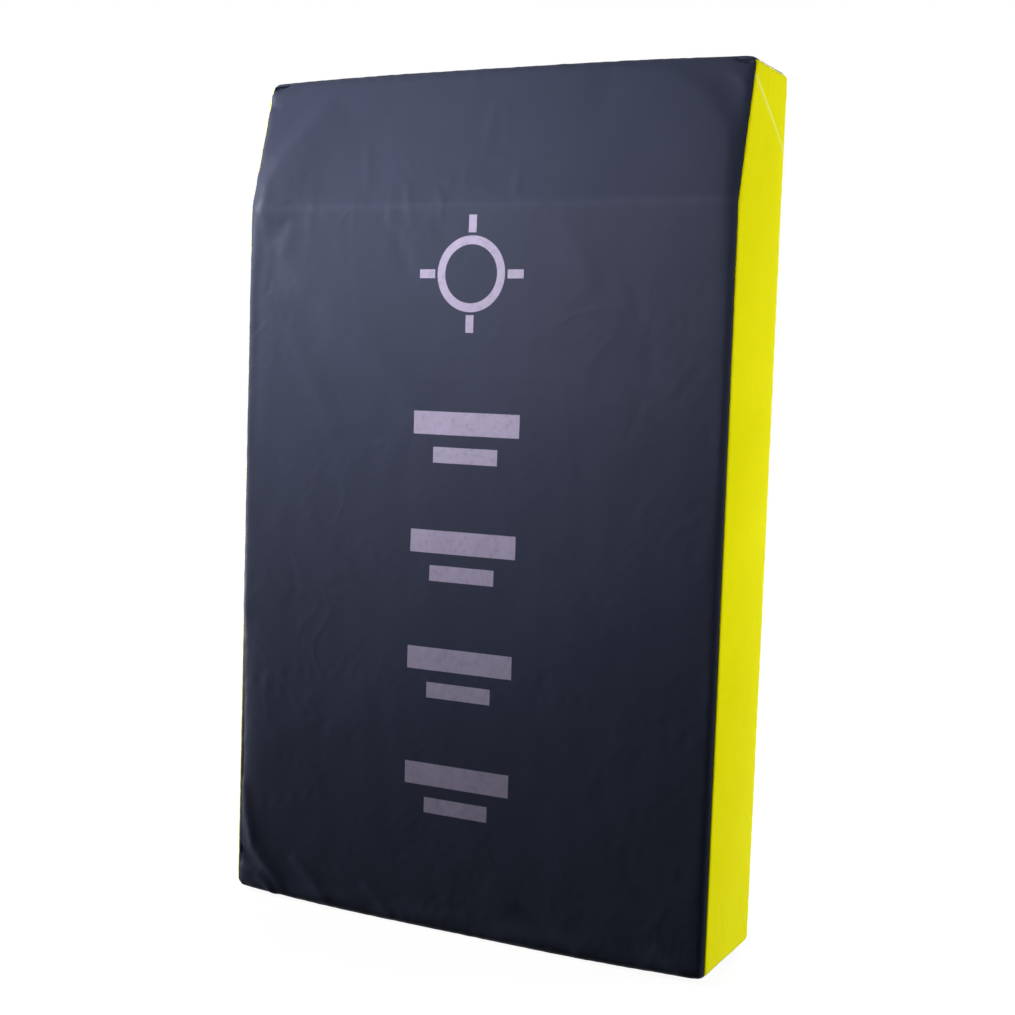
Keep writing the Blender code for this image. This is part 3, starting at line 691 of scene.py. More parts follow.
# Folds on the front, in millimetres: height, width and the points of the path in X and Z
FRONT_FOLDS = [
    # The pull round the left end of the bend, up to the corner and down across the face
    fold(
        6.8, 20, (-249, 1172), (-292, 1128), (-325, 1090), (-344, 1051), (-347, 1018), (-330, 987), inner=60,
    ),
    fold(4.2, 24, (-318, 981), (-280, 915), (-223, 872), (-155, 822), (-98, 771), (-49, 731), inner=55),
    fold(0.9, 11, (-314, 945), (-303, 975), (-292, 1012)),
    # The pull round the right end, with the hollow beside the seam
    fold(
        4.0, 20, (366, 920), (366, 1000), (358, 1066), (341, 1114), (308, 1159), (246, 1193), (180, 1200),
        inner=80,
    ),
    # Pleats at the bend
    fold(1.1, 6, (-112, 1055), (-103, 1023), (-94, 989)),
    fold(1.2, 5, (-60, 1043), (-48, 1020), (-52, 994)),
    fold(0.8, 5, (-42, 1060), (-44, 1032)),
    fold(0.9, 6, (63, 1078), (61, 1052), (60, 1026)),
    # Slack above and below it
    fold(0.9, 8, (-193, 1121), (-179, 1076), (-172, 1035)),
    fold(1.0, 8, (10, 1168), (7, 1128), (3, 1085)),
    fold(-1.3, 10, (-154, 1011), (-124, 978), (-102, 941), (-90, 908)),
    fold(-1.1, 8, (-67, 1002), (-47, 983), (-23, 963)),
    fold(1.0, 14, (126, 1004), (163, 955), (187, 901)),
    fold(-0.6, 20, (245, 887), (269, 834), (262, 780)),
    fold(1.2, 16, (-303, 855), (-254, 774), (-202, 695)),
    fold(-1.2, 16, (-366, 940), (-360, 780), (-366, 620)),
]
# Puckers that run into a seam
FRONT_TUCKS = [
    fold(-4.2, 20, (-374, 420), (-374, 260), (-374, 100), (-374, -60)),
    fold(4.4, 9, (-366, 175), (-356, 120), (-342, 74), (-312, 45), (-282, 8)),
    fold(3.6, 7, (-374, 37), (-340, 37), (-318, 24), (-300, 0)),
    fold(-3.0, 8, (-374, 70), (-352, 55), (-330, 38)),
    fold(2.4, 9, (-274, 70), (-240, 44), (-206, 12)),
    fold(1.6, 9, (-150, 50), (-120, 30), (-96, 4)),
    fold(-2.4, 10, (95, 60), (140, 38), (190, 10)),
    fold(1.6, 9, (300, 40), (330, 28), (360, 4)),
    fold(-5.5, 5.5, (-374, 1200), (-358, 1203), (-340, 1211)),
    fold(2.4, 4, (-374, 1189), (-356, 1190), (-330, 1196)),
    fold(-2.0, 5, (-375, 1176), (-366, 1172), (-352, 1170)),
    fold(-4.5, 5, (348, 1205), (362, 1203), (372, 1199)),
    fold(1.6, 6, (335, 1190), (355, 1180), (373, 1160)),
]
# Where the front's hem puffs over the stitches between its gathers: middle and half length, in metres
SCALLOPS = [(-0.212, 0.070), (-0.049, 0.080), (0.152, 0.085), (0.339, 0.060)]
# Folds on the side panels, with the path in Y and Z for the right one
SIDE_FOLDS = [
    fold(2.6, 6, (-36, 1176), (20, 1140), (86, 1100)),
    fold(-1.6, 10, (60, 1190), (75, 1150), (82, 1120)),
    fold(1.0, 12, (-60, 980), (-45, 900), (-50, 780)),
    fold(1.0, 14, (10, 930), (30, 840), (20, 740)),
    fold(1.1, 12, (55, 700), (60, 560), (50, 420)),
    fold(1.0, 12, (-30, 560), (-45, 430), (-30, 330)),
    fold(1.6, 12, (75, 60), (50, 110), (45, 180)),
    fold(1.4, 10, (-75, 35), (-40, 28), (0, 34)),
]
# Pulls on the back, out from the patches, the vents and the ends of the zip
BACK_FOLDS = [
    fold(1.6, 12, (-60, 850), (-20, 890), (10, 950)),
    fold(1.6, 10, (320, 870), (345, 930), (350, 1000)),
    fold(1.8, 10, (-320, 870), (-340, 940), (-350, 1020)),
    fold(1.5, 14, (50, 450), (10, 400), (-20, 330)),
    fold(1.7, 10, (-310, 440), (-335, 380), (-345, 300)),
    fold(1.4, 10, (310, 440), (340, 390), (350, 330)),
    fold(1.6, 9, (-300, 175), (-320, 215), (-350, 250)),
    fold(1.4, 9, (300, 180), (325, 225), (350, 255)),
    fold(1.2, 10, (-100, 90), (-30, 75), (60, 82)),
    fold(1.2, 10, (-260, 1150), (-220, 1165), (-160, 1170)),
    fold(1.2, 13, (230, 1090), (160, 1060), (80, 1050)),
    fold(1.2, 16, (0, 760), (12, 660), (-4, 560)),
]


def folds_at(a, b, folds):
    """The height that folds have at a point of their plane."""
    here = Vector((a, b))
    return sum(ridge(here, *each) for each in folds)


def wander(place, size, seed):
    """Smooth seeded noise from -1 to 1, its features about this size across."""
    return noise.noise(Vector(place) / size + Vector((seed, 3.7 * seed, 1.9)))


def front_relief(point):
    """Folds and slow unevenness of the front."""
    x, _, z = point
    uneven = 0.0011 * wander((x, 0, z), 0.16, 1) + 0.0005 * wander((x * 1.6, 0, z), 0.06, 2)
    return folds_at(x, z, FRONT_FOLDS) + uneven


def front_tuck(point):
    """The puckers of the front that reach its seams."""
    x, _, z = point
    height = folds_at(x, z, FRONT_TUCKS)
    for middle, half in SCALLOPS:
        over = max(0.0, 1 - ((x - middle) / half) ** 2)
        height += 0.0018 * over * math.exp(-(((z - 0.020) / 0.011) ** 2))
    return height


def side_relief(point):
    """Folds and unevenness of a side, a little higher and otherwise seeded on the left one."""
    x, y, z = point
    uneven = 0.0008 * wander((0, y, z * 0.6), 0.09, 5 if x > 0 else 6)
    return folds_at(y, z if x > 0 else z - 0.02, SIDE_FOLDS) + uneven


def back_relief(point):
    """Folds of the back, over a stronger unevenness than the top's."""
    return folds_at(point.x, point.z, BACK_FOLDS) + other_relief(point) * 1.3


def other_relief(point):
    """The unevenness of a panel without folds."""
    return 0.0008 * wander(point, 0.12, 8) + 0.0003 * wander(point, 0.04, 9)


RELIEFS = {
    "front_panel": front_relief, "back_panel": back_relief,
    "left_side_panel": side_relief, "right_side_panel": side_relief,
}


def seam_pucker(point):
    """The gathering of the cloth along its seams, strongest a few millimetres from the stitches."""
    x, y, z = point
    from_faces = min(abs(y - front_depth(z)), abs(HALF.y - y))
    away = sorted((abs(HALF.x - abs(x)), from_faces, min(abs(z), abs(HEIGHT - z))))[1]
    return 0.00055 * wander(point, 0.013, 12) * smooth(away / 0.004) * smooth((0.026 - away) / 0.02)


def back_sheet(axis, sign, spacing):
    """The back panel's sheet, with the zip's window and the vents cut out along lines of its mesh."""
    vents = [side * VENT_SPREAD / 2 + shift for side in (-1, 1) for shift in (-VENT_HOLE, VENT_HOLE)]
    zip_rows = [ZIP_HEIGHT + side * ZIP_WINDOW / 2 for side in (-1, 1)]
    vent_rows = [VENT_HEIGHT - VENT_HOLE, VENT_HEIGHT + VENT_HOLE]
    wanted = ([*vents, -ZIP_REACH, ZIP_REACH], (), [*zip_rows, *vent_rows, *BEND_ROWS])
    bm = panel_bmesh(axis, sign, spacing, wanted)
    openings = []
    for face in bm.faces:
        x, _, z = face.calc_center_median()
        at_zip = abs(x) < ZIP_REACH and abs(z - ZIP_HEIGHT) < ZIP_WINDOW / 2
        if at_zip or max(abs(abs(x) - VENT_SPREAD / 2), abs(z - VENT_HEIGHT)) < VENT_HOLE:
            openings.append(face)
    bmesh.ops.delete(bm, geom=openings, context="FACES")
    return bm


def dressed_panel(name, settings, finish, tree, drifts):
    """A cover panel with its simulated drift, folds and puckers, as a wall of real thickness."""
    sheet = back_sheet if name == "back_panel" else panel_bmesh
    bm = sheet(*PANELS[name], settings.spacing)
    for vert in bm.verts:
        vert.co += drifts[tree.find(vert.co)[1]]
    panel = from_bmesh(name + "_cover", bm, finish, 60)
    finer = panel.modifiers.new("finer", "SUBSURF")
    finer.levels = finer.render_levels = 1
    applied(panel)
    relief = RELIEFS.get(name, other_relief)
    normals = [vert.normal.copy() for vert in panel.data.vertices]
    for vert, normal in zip(panel.data.vertices, normals):
        free = freedom(vert.co, 0.003, 0.02)
        height = relief(vert.co) * free + seam_pucker(vert.co) * (free if name == "back_panel" else 1)
        if name == "front_panel":
            height += front_tuck(vert.co) * freedom(vert.co, 0.0, 0.008)
        vert.co += normal * height
        # The base rests on the floor
        vert.co.z = max(vert.co.z, 0.0001)
    thicken(panel, "cover wall", COVER, -1.0)
    dressed(panel, "root", "lime_cover" if "side" in name else "navy_cover", name)


class BAG_OT_foam(Operator):
    """Make the three foam sheets that fill the cover"""

    bl_idname = "bag.foam"
    bl_label = "Foam Block"

    def execute(self, context):
        settings = context.scene.contest_bag.foam
        soft = foam_finish("Open-cell polyurethane foam", settings.soft, 0.0022)
        firm = foam_finish("Reconstituted polyurethane foam", settings.firm, 0.006)
        # The block is cut a little small, so that the cover's folds never lie inside it
        narrower, lower, front_room, back_room = 0.988, 0.993, 0.004, 0.0015
        sheets = (("strike_foam", firm, "firm"), ("foam_core", soft, "soft"), ("backing_foam", firm, "firm"))
        for name, finish, kind in sheets:
            bm = bmesh.new()
            bm.from_mesh(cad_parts[name].data)
            bmesh.ops.remove_doubles(bm, verts=bm.verts, dist=SAME_PLACE)
            bmesh.ops.recalc_face_normals(bm, faces=bm.faces)
            for vert in bm.verts:
                vert.co.x *= narrower
                vert.co.z = HEIGHT / 2 + (vert.co.z - HEIGHT / 2) * lower
                if vert.co.y < front_depth(vert.co.z) + 0.02:
                    vert.co.y += front_room
                if vert.co.y > 0.085:
                    vert.co.y -= back_room
            piece = from_bmesh(name + "_sheet", bm, finish, 35)
            dressed(piece, "root", kind + "_foam", name)
        return {"FINISHED"}


class BAG_OT_cover(Operator):
    """Make the six panels of the sewn cover"""

    bl_idname = "bag.cover"
    bl_label = "Cover"

    def execute(self, context):
        settings = context.scene.contest_bag.cover
        navy = coated_fabric("Navy PVC-coated polyester", settings.navy, 0.02, 0.0003)
        # The front carries its print and a painted highlight along the bend
        front = coated_fabric(
            "Printed navy PVC-coated polyester", settings.navy, 0.02, 0.0003,
            pleats_at_bend, print_and_bend_highlight, settings.print_ink,
        )
        # The lime sides carry a painted highlight along the fold near the top of the right side
        lime = coated_fabric(
            "Lime PVC-coated polyester", settings.lime, 0.006, 0.0004,
            None, painted_crease_highlight, settings.crease,
        )
        places, drifts = simulated_drift(settings)
        tree = KDTree(len(places))
        for index, place in enumerate(places):
            tree.insert(place, index)
        tree.balance()
        for name in PANELS:
            finish = lime if "side" in name else front if name == "front_panel" else navy
            dressed_panel(name, settings, finish, tree, drifts)
        return {"FINISHED"}


def box_bmesh(low, high):
    """A box between two corners."""
    bm = bmesh.new()
    bmesh.ops.create_cube(bm, size=1.0)
    bmesh.ops.scale(bm, vec=high - low, verts=bm.verts)
    bmesh.ops.translate(bm, vec=(low + high) / 2, verts=bm.verts)
    return bm


def cut_through(bm, axis, first, last, steps):
    """Adds the lines across a mesh that part it into equal steps along an axis."""
    direction = Vector([float(k == axis) for k in range(3)])
    for k in range(1, steps):
        place = direction * (first + (last - first) * k / steps)
        everything = bm.verts[:] + bm.edges[:] + bm.faces[:]
        bmesh.ops.bisect_plane(bm, geom=everything, plane_co=place, plane_no=direction)


def one_stitch():
    """A single stitch, one unit long and thick each way from its middle."""
    bm = bmesh.new()
    bmesh.ops.create_uvsphere(bm, u_segments=6, v_segments=4, radius=1.0)
    mesh = bpy.data.meshes.new("stitch")
    bm.to_mesh(mesh)
    bm.free()
    return mesh


STITCH = one_stitch()
# A stitch's half length as a share of the pitch, and its middle's height over the surface in threads
STITCH_SHARE = 0.36
STITCH_LIFT = 0.22
STITCH_THREAD = 0.0006
OUT_OF_BACK = Vector((0, 1, 0))


def stitch_path(bm, points, pitch, up, thick):
    """Sews a row of stitches along a path on a surface."""
    spans = list(zip(points, points[1:]))
    total = sum((b - a).length for a, b in spans)
    count = max(1, round(total / pitch))
    size = Matrix.Diagonal((STITCH_SHARE * total / count, thick / 2, thick / 2, 1.0))
    walked, span = 0.0, 0
    for k in range(count):
        at = (k + 0.5) * total / count
        while span < len(spans) - 1 and at > walked + (spans[span][1] - spans[span][0]).length:
            walked += (spans[span][1] - spans[span][0]).length
            span += 1
        start, end = spans[span]
        along = (end - start).normalized()
        turn = Matrix((along, up.cross(along), up)).transposed().to_4x4()
        place = Matrix.Translation(start + along * (at - walked) + up * thick * STITCH_LIFT)
        stitch = STITCH.copy()
        stitch.transform(place @ turn @ size)
        bm.from_mesh(stitch)
        bpy.data.meshes.remove(stitch)


def sewn(name, paths, pitch, finish, body="root", kind="webbing", up=OUT_OF_BACK, thick=STITCH_THREAD):
    """A piece of rows of stitches."""
    bm = bmesh.new()
    for path in paths:
        stitch_path(bm, path, pitch, up, thick)
    dressed(from_bmesh(name, bm, finish), body, kind)


def box_corners(low, high, depth):
    """The corners of an upright rectangle at this depth, back to the first."""
    (x0, z0), (x1, z1) = low, high
    return [Vector((x, depth, z)) for x, z in ((x0, z0), (x1, z0), (x1, z1), (x0, z1), (x0, z0))]


def softened(name, finish, kind, body, width):
    """A rigid CAD piece with its edges rounded as moulding and tumbling leave them."""
    bm = bmesh.new()
    bm.from_mesh(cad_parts[name].data)
    bmesh.ops.remove_doubles(bm, verts=bm.verts, dist=SAME_PLACE)
    bmesh.ops.dissolve_limit(
        bm, angle_limit=math.radians(1), use_dissolve_boundaries=False, verts=bm.verts, edges=bm.edges
    )
    sharp_angle = math.radians(35)
    sharp = [e for e in bm.edges if len(e.link_faces) == 2 and e.calc_face_angle() > sharp_angle]
    bmesh.ops.bevel(
        bm, geom=sharp, offset=width, segments=2, profile=0.5, affect="EDGES", clamp_overlap=True, material=-1
    )
    bmesh.ops.recalc_face_normals(bm, faces=bm.faces)
    dressed(from_bmesh(name + "_finished", bm, finish, 50), body, kind, name)


def quilted_patch(low, high):
    """A doubled patch with round corners, which puffs up inside its stitches and at its folded edge."""
    bm = box_bmesh(low, high)
    corners = [edge for edge in bm.edges if edge.calc_length() < 0.002]
    bmesh.ops.bevel(bm, geom=corners, offset=0.012, segments=8, profile=0.5, affect="EDGES", material=-1)
    cut_through(bm, 0, low.x, high.x, 40)
    cut_through(bm, 2, low.z, high.z, 14)
    bmesh.ops.remove_doubles(bm, verts=bm.verts, dist=SAME_PLACE)
    for vert in bm.verts:
        x, y, z = vert.co
        inside = min(x - low.x, high.x - x, z - low.z, high.z - z)
        quilt = smooth((inside - 0.006) / 0.008) + smooth((0.0045 - inside) / 0.0045) * 0.5
        if y > (low.y + high.y) / 2:
            vert.co.y += 0.00022 * quilt + 0.00012 * wander((x, 0, z), 0.02, 21)
    bmesh.ops.recalc_face_normals(bm, faces=bm.faces)
    return bm


def round_the_patch(low, high, inset):
    """The path of a row of stitches round a patch, eased at its corners."""
    ease, cut = 0.008, 0.0034
    ring = box_corners((low.x + inset, low.z + inset), (high.x - inset, high.z - inset), high.y)[:-1]
    path = []
    for k, here in enumerate(ring):
        before, after = ring[k - 1] - here, ring[(k + 1) % len(ring)] - here
        path.append(here + before.normalized() * ease)
        path.append(here + (before + after).normalized() * cut)
        path.append(here + after.normalized() * ease)
    return [*path, path[0]]


class BAG_OT_patches(Operator):
    """Make the doubled patches under the sewn ends, with the stitching round them"""

    bl_idname = "bag.patches"
    bl_label = "Patches"

    def execute(self, context):
        settings = context.scene.contest_bag
        finish = coated_fabric("Navy PVC-coated patch", settings.cover.navy, 0.03, 0.0001)
        thread = thread_finish(settings.loops)
        for node in [f"{side}_patch_{where}" for side in ("left", "right") for where in ("upper", "lower")]:
            low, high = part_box(node)
            piece = from_bmesh(node + "_doubled", quilted_patch(low, high), finish)
            dressed(piece, "root", "navy_cover", node)
            paths = [round_the_patch(low, high, inset) for inset in (0.005, 0.0085)]
            sewn(node + "_stitching", paths, 0.0042, thread)
        return {"FINISHED"}


def window_hem(finish):
    """The folded hem round the zip's window."""
    outer = 0.009
    bm = bmesh.new()
    bmesh.ops.create_grid(bm, x_segments=1, y_segments=1, size=1.0)
    upright = Matrix.Rotation(math.radians(90), 3, "X")
    bmesh.ops.rotate(bm, cent=(0, 0, 0), matrix=upright, verts=bm.verts)
    bmesh.ops.scale(bm, vec=(ZIP_REACH + outer, 1.0, ZIP_WINDOW / 2 + outer), verts=bm.verts)
    bmesh.ops.translate(bm, vec=(0, BACK_OUT - 0.0001, ZIP_HEIGHT), verts=bm.verts)
    opening = bm.faces[:]
    bmesh.ops.inset_region(bm, faces=opening, thickness=outer, use_even_offset=True, use_boundary=True)
    bmesh.ops.delete(bm, geom=opening, context="FACES")
    long_edges = [edge for edge in bm.edges if edge.calc_length() > 0.3]
    bmesh.ops.subdivide_edges(bm, edges=long_edges, cuts=60, use_grid_fill=True)
    turned_to(bm, OUT_OF_BACK)
    hem = from_bmesh("zip_window_hem", bm, finish)
    thicken(hem, "folded hem", 0.0013, 1.0)
    round_off(hem, "fold", 0.0006, 3)
    dressed(hem, "root", "navy_cover")


class BAG_OT_zip(Operator):
    """Make the zip: tapes, interlocking teeth, stops, slider, puller, and the hem of its window"""

    bl_idname = "bag.zip"
    bl_label = "Zip"

    def execute(self, context):
        settings = context.scene.contest_bag
        tape = woven("Woven polyester zip tape", settings.zip.tape, 0.0011, 0.0044, 0.00012, "Object")
        # Moulded acetal: smooth and a little waxy, so that each tooth shows a soft light
        moulded = {"Roughness": 0.32, "IOR": 1.48, "Specular IOR Level": 0.5}
        teeth = hard_finish("Moulded acetal", settings.zip.teeth, moulded, 0.003, 0.00003)
        # Enamelled die-cast zinc: a hard dark gloss, rubbed to a greyer tone in spots
        enamel = {"Roughness": 0.26, "IOR": 1.5, "Specular IOR Level": 0.5}
        enamel |= {"Coat Weight": 0.4, "Coat Roughness": 0.15}
        bared = shade(settings.zip.metal, 2.2)
        metal = hard_finish("Enamelled die-cast zinc", settings.zip.metal, enamel, 0.004, 0.00002, bared)
        hem = coated_fabric("Navy PVC-coated hem", settings.cover.navy, 0.03, 0.00008)
        thread = thread_finish(settings.loops)
        for where in ("upper", "lower"):
            node = f"zip_tape_{where}"
            bm = box_bmesh(*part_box(node))
            bmesh.ops.bevel(
                bm, geom=bm.edges[:], offset=0.0003, segments=2, profile=0.5, affect="EDGES", material=-1
            )
            dressed(from_bmesh(node + "_woven", bm, tape), "root", "zip_tape", node)
            softened(f"zip_teeth_{where}", teeth, "zip_teeth", "root", 0.00028)
        for side in ("left", "right"):
            softened(f"zip_stop_{side}", metal, "zip_metal", "root", 0.0003)
        softened("zip_slider", metal, "zip_metal", "zip_slider", 0.00035)
        softened("zip_puller", metal, "zip_metal", "zip_puller", 0.0004)
        window_hem(hem)
        rings = []
        for inset in (0.0028, 0.0064):
            reach, half = ZIP_REACH + inset, ZIP_WINDOW / 2 + inset
            low, high = (-reach, ZIP_HEIGHT - half), (reach, ZIP_HEIGHT + half)
            rings.append(box_corners(low, high, BACK_OUT + 0.0012))
        sewn("zip_stitching", rings, 0.0038, thread)
        return {"FINISHED"}


def eyelet_bmesh(low, high):
    """A pressed eyelet: a rolled rim outside, a shank through the cover, and a washer inside."""
    flange, metal, washer, washer_thick, steps = 0.0055, 0.0009, 0.0045, 0.001, 12
    outer, face = (high.x - low.x) / 2, BACK_OUT + GAP
    bore, rise, reach, inner = outer - flange, high.y - face, flange / 2, low.y + washer_thick
    # Radius and depth, from the edge of the flange over the rim to the bore, and back outside the shank
    profile = [(outer, face)]
    for k in range(1, steps):
        turn = math.pi * k / steps
        profile.append((bore + reach + reach * math.cos(turn), face + rise * math.sin(turn) ** 0.7))
    profile += [(bore, face), (bore, low.y), (bore + washer, low.y), (bore + washer, inner)]
    profile += [(bore + metal, inner), (bore + metal, face)]
    bm = bmesh.new()
    rim = [bm.verts.new((radius, depth, 0)) for radius, depth in profile]
    edges = [bm.edges.new((a, b)) for a, b in zip(rim, rim[1:] + rim[:1])]
    bmesh.ops.spin(
        bm, geom=rim + edges, cent=(0, 0, 0), axis=(0, 1, 0), angle=math.tau, steps=56, use_merge=True
    )
    bmesh.ops.recalc_face_normals(bm, faces=bm.faces)
    middle = (low + high) / 2
    bmesh.ops.translate(bm, vec=(middle.x, 0, middle.z), verts=bm.verts)
    return bm


class BAG_OT_vents(Operator):
    """Make the two vent eyelets"""

    bl_idname = "bag.vents"
    bl_label = "Vent Eyelets"

    def execute(self, context):
        settings = context.scene.contest_bag.vents
        # Nickel-plated brass: a warm bright metal, faintly clouded where it has been handled
        plated = {"Metallic": 1.0, "Roughness": 0.24}
        brass = hard_finish("Nickel-plated brass", settings.nickel, plated, 0.005, 0.00002)
        for node in ("vent_eyelet_left", "vent_eyelet_right"):
            dressed(from_bmesh(node + "_rolled", eyelet_bmesh(*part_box(node)), brass), "root", "eyelet", node)
        return {"FINISHED"}


# A loop's body, distance from the middle, webbing width and standoff, its sleeve's length, bore and wall, and
# the height over which the webbing bends when the loop leans
Loop = namedtuple("Loop", "body x width reach sleeve bore wall bend")
LOOPS = (
    Loop("grip", 0.105, 0.025, 0.048, 0.12, 0.010, 0.005, 0.0388),
    Loop("arm_strap", 0.255, 0.050, 0.075, 0.15, 0.008, 0.006, 0.0341),
)
LOOP_HEIGHT = 0.66
LOOP_LENGTH = 0.28
SEWN_END = 0.05
WEBBING = 0.0018
LOOP_AXIS = PATCH_FACE + GAP + WEBBING / 2
SLEEVE_TAPER = 0.018
SLEEVE_BULGE = 0.0015
BINDING = 0.009
ENDS = ((1, "upper"), (-1, "lower"))


def standoff(from_middle, loop):
    """How far the webbing stands off its sewn ends' plane: level in the sleeve, easing down to each end."""
    level = loop.sleeve / 2 + SLEEVE_TAPER / 2
    share = (abs(from_middle) - level) / (LOOP_LENGTH / 2 - level)
    return loop.reach * (0.5 + 0.5 * math.cos(math.pi * max(0.0, min(1.0, share))))


def webbing_half(name, loop, where, finish):
    """Half of a loop's webbing, from its sewn end to the middle of the sleeve, with ribs running along it."""
    far = LOOP_LENGTH / 2 + SEWN_END
    bm = bmesh.new()
    chart = bm.loops.layers.uv.new("weave")
    bmesh.ops.create_grid(bm, x_segments=12, y_segments=96, size=1.0, calc_uvs=True)
    for face in bm.faces:
        for corner in face.loops:
            across, height, _ = corner.vert.co
            corner[chart].uv = ((across + 1) / 2 * loop.width, (height + 1) / 2 * far)
    for vert in bm.verts:
        across, height = vert.co.x * loop.width / 2, (vert.co.y + 1) / 2 * far
        off = standoff(height, loop)
        slack = 0.0004 * wander((across, height * where, loop.x), 0.03, 31) * smooth(off / 0.01)
        vert.co = (loop.x + across, LOOP_AXIS + off + slack, LOOP_HEIGHT + where * height)
    bmesh.ops.recalc_face_normals(bm, faces=bm.faces)
    strip = from_bmesh(name, bm, finish, 60)
    thicken(strip, "webbing thickness", WEBBING, 0.0).use_even_offset = True
    round_off(strip, "selvedge", 0.0005, 2, 50)
    return applied(strip)


def sewn_end(loop, where, place, webbing, thread):
    """Half of a loop's webbing and the crossed box of stitches that holds its end."""
    strap = webbing_half(f"{loop.body}_strap_{place}", loop, where, webbing)
    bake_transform(strap)
    # The upper half stands for the loop's own webbing too
    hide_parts(f"{loop.body}_end_{place}", *([f"{loop.body}_webbing"] if where > 0 else []))
    reaches = (LOOP_LENGTH / 2 + 0.006, LOOP_LENGTH / 2 + SEWN_END - 0.005)
    low, high = sorted(LOOP_HEIGHT + where * reach for reach in reaches)
    half = loop.width / 2 - 0.0035
    ring = box_corners((loop.x - half, low), (loop.x + half, high), LOOP_AXIS + WEBBING / 2)
    paths = (ring, [ring[0], ring[2]], [ring[1], ring[3]])
    sewn(f"{loop.body}_end_{place}_stitching", paths, 0.0034, thread, thick=0.0007)


def sleeve_bmesh(loop, wall, length, rings, swell):
    """An oval tube round the webbing, a little fuller between its ends."""
    bm = bmesh.new()
    end = loop.bore / 2 + wall
    bmesh.ops.create_cone(bm, cap_ends=False, segments=48, radius1=end, radius2=end, depth=length)
    cut_through(bm, 2, -length / 2, length / 2, rings)
    straight = loop.width / 2 + 0.0011 - loop.bore / 2
    for vert in bm.verts:
        across, out, height = vert.co
        inward = max(0.0, length / 2 - abs(height))
        full = 1 + SLEEVE_BULGE * math.sqrt(min(1.0, inward / SLEEVE_TAPER)) / end * swell
        side = 0.0 if abs(across) < 0.000001 else math.copysign(straight, across)
        vert.co = (loop.x + across * full + side, LOOP_AXIS + loop.reach + out * full, LOOP_HEIGHT + height)
    bmesh.ops.recalc_face_normals(bm, faces=bm.faces)
    return bm


def padded_sleeve(loop, padding):
    """The padded tube round the middle of a loop."""
    bm = sleeve_bmesh(loop, loop.wall, loop.sleeve, 44, 1.0)
    bm.normal_update()
    middle = Vector((loop.x, LOOP_AXIS + loop.reach, LOOP_HEIGHT))
    for vert in bm.verts:
        off = vert.co - middle
        free = smooth((loop.sleeve / 2 - abs(off.z)) / 0.02)
        # Cross creases where the padding bends, and the pull of the seam on the bag's side
        creases = wander((off.x * 0.3, off.y * 0.3, vert.co.z * 1.3), 0.012, 41)
        pull = math.exp(-((off.x / 0.004) ** 2)) if off.y < 0 else 0.0
        vert.co += vert.normal * (0.00045 * creases * free - 0.0012 * pull * free)
    tube = from_bmesh(f"{loop.body}_sleeve_padded", bm, padding, 60)
    thicken(tube, "padded wall", loop.wall * 0.9, -1.0)
    round_off(tube, "turned ends", 0.0014, 3, 50)
    dressed(tube, loop.body, "sleeve", f"{loop.body}_sleeve")


def sleeve_trim(loop, binding, thread):
    """The bindings at both ends of a sleeve, and the two rows of stitches along its seam."""
    for where, place in ENDS:
        bm = sleeve_bmesh(loop, loop.wall + 0.0004, BINDING, 4, 0.0)
        shift = where * (loop.sleeve / 2 - BINDING / 2)
        bmesh.ops.translate(bm, vec=(0, 0, shift), verts=bm.verts)
        band = from_bmesh(f"{loop.body}_binding_{place}", bm, binding, 60)
        thicken(band, "tape thickness", 0.0009, 1.0)
        round_off(band, "fold", 0.0003, 2)
        dressed(band, loop.body, "webbing")
    back = LOOP_AXIS + loop.reach - (loop.bore / 2 + loop.wall + SLEEVE_BULGE) - 0.0002
    ends = [LOOP_HEIGHT + where * (loop.sleeve / 2 - 0.012) for where in (-1, 1)]
    rows = [[Vector((loop.x + aside, back, end)) for end in ends] for aside in (-0.0045, 0.0045)]
    sewn(f"{loop.body}_sleeve_stitching", rows, 0.0042, thread, loop.body, "sleeve", -OUT_OF_BACK)


class BAG_OT_loops(Operator):
    """Make the carrying loops: webbing, padded sleeves, bindings and the stitching of the sewn ends"""

    bl_idname = "bag.loops"
    bl_label = "Carrying Loops"

    def execute(self, context):
        settings = context.scene.contest_bag.loops
        webbing = woven("Woven polypropylene webbing", settings.webbing, 0.0016, 0.0062, 0.0003)
        binding = woven("Woven binding tape", settings.webbing, 0.0012, 0.0036, 0.00015, "Object")
        padding = coated_fabric("Padded navy sleeve cloth", settings.sleeve, 0.05, 0.0002)
        thread = thread_finish(settings)
        for side, sign in (("left", -1), ("right", 1)):
            for kind in LOOPS:
                loop = kind._replace(body=f"{side}_{kind.body}", x=sign * kind.x)
                for where, place in ENDS:
                    sewn_end(loop, where, place, webbing, thread)
                padded_sleeve(loop, padding)
                sleeve_trim(loop, binding, thread)
        return {"FINISHED"}


def seen_rays(tree):
    """1 on the rays that show the background, to the eye or in a gloss, and 0 on those that light the bag."""
    rays = add(tree, "LightPath", (), None)
    seen = sum_of(tree, [rays["Is Camera Ray"], rays["Is Glossy Ray"], rays["Is Transmission Ray"]])
    return add(tree, "Math", (seen, 1.0), operation="MINIMUM")


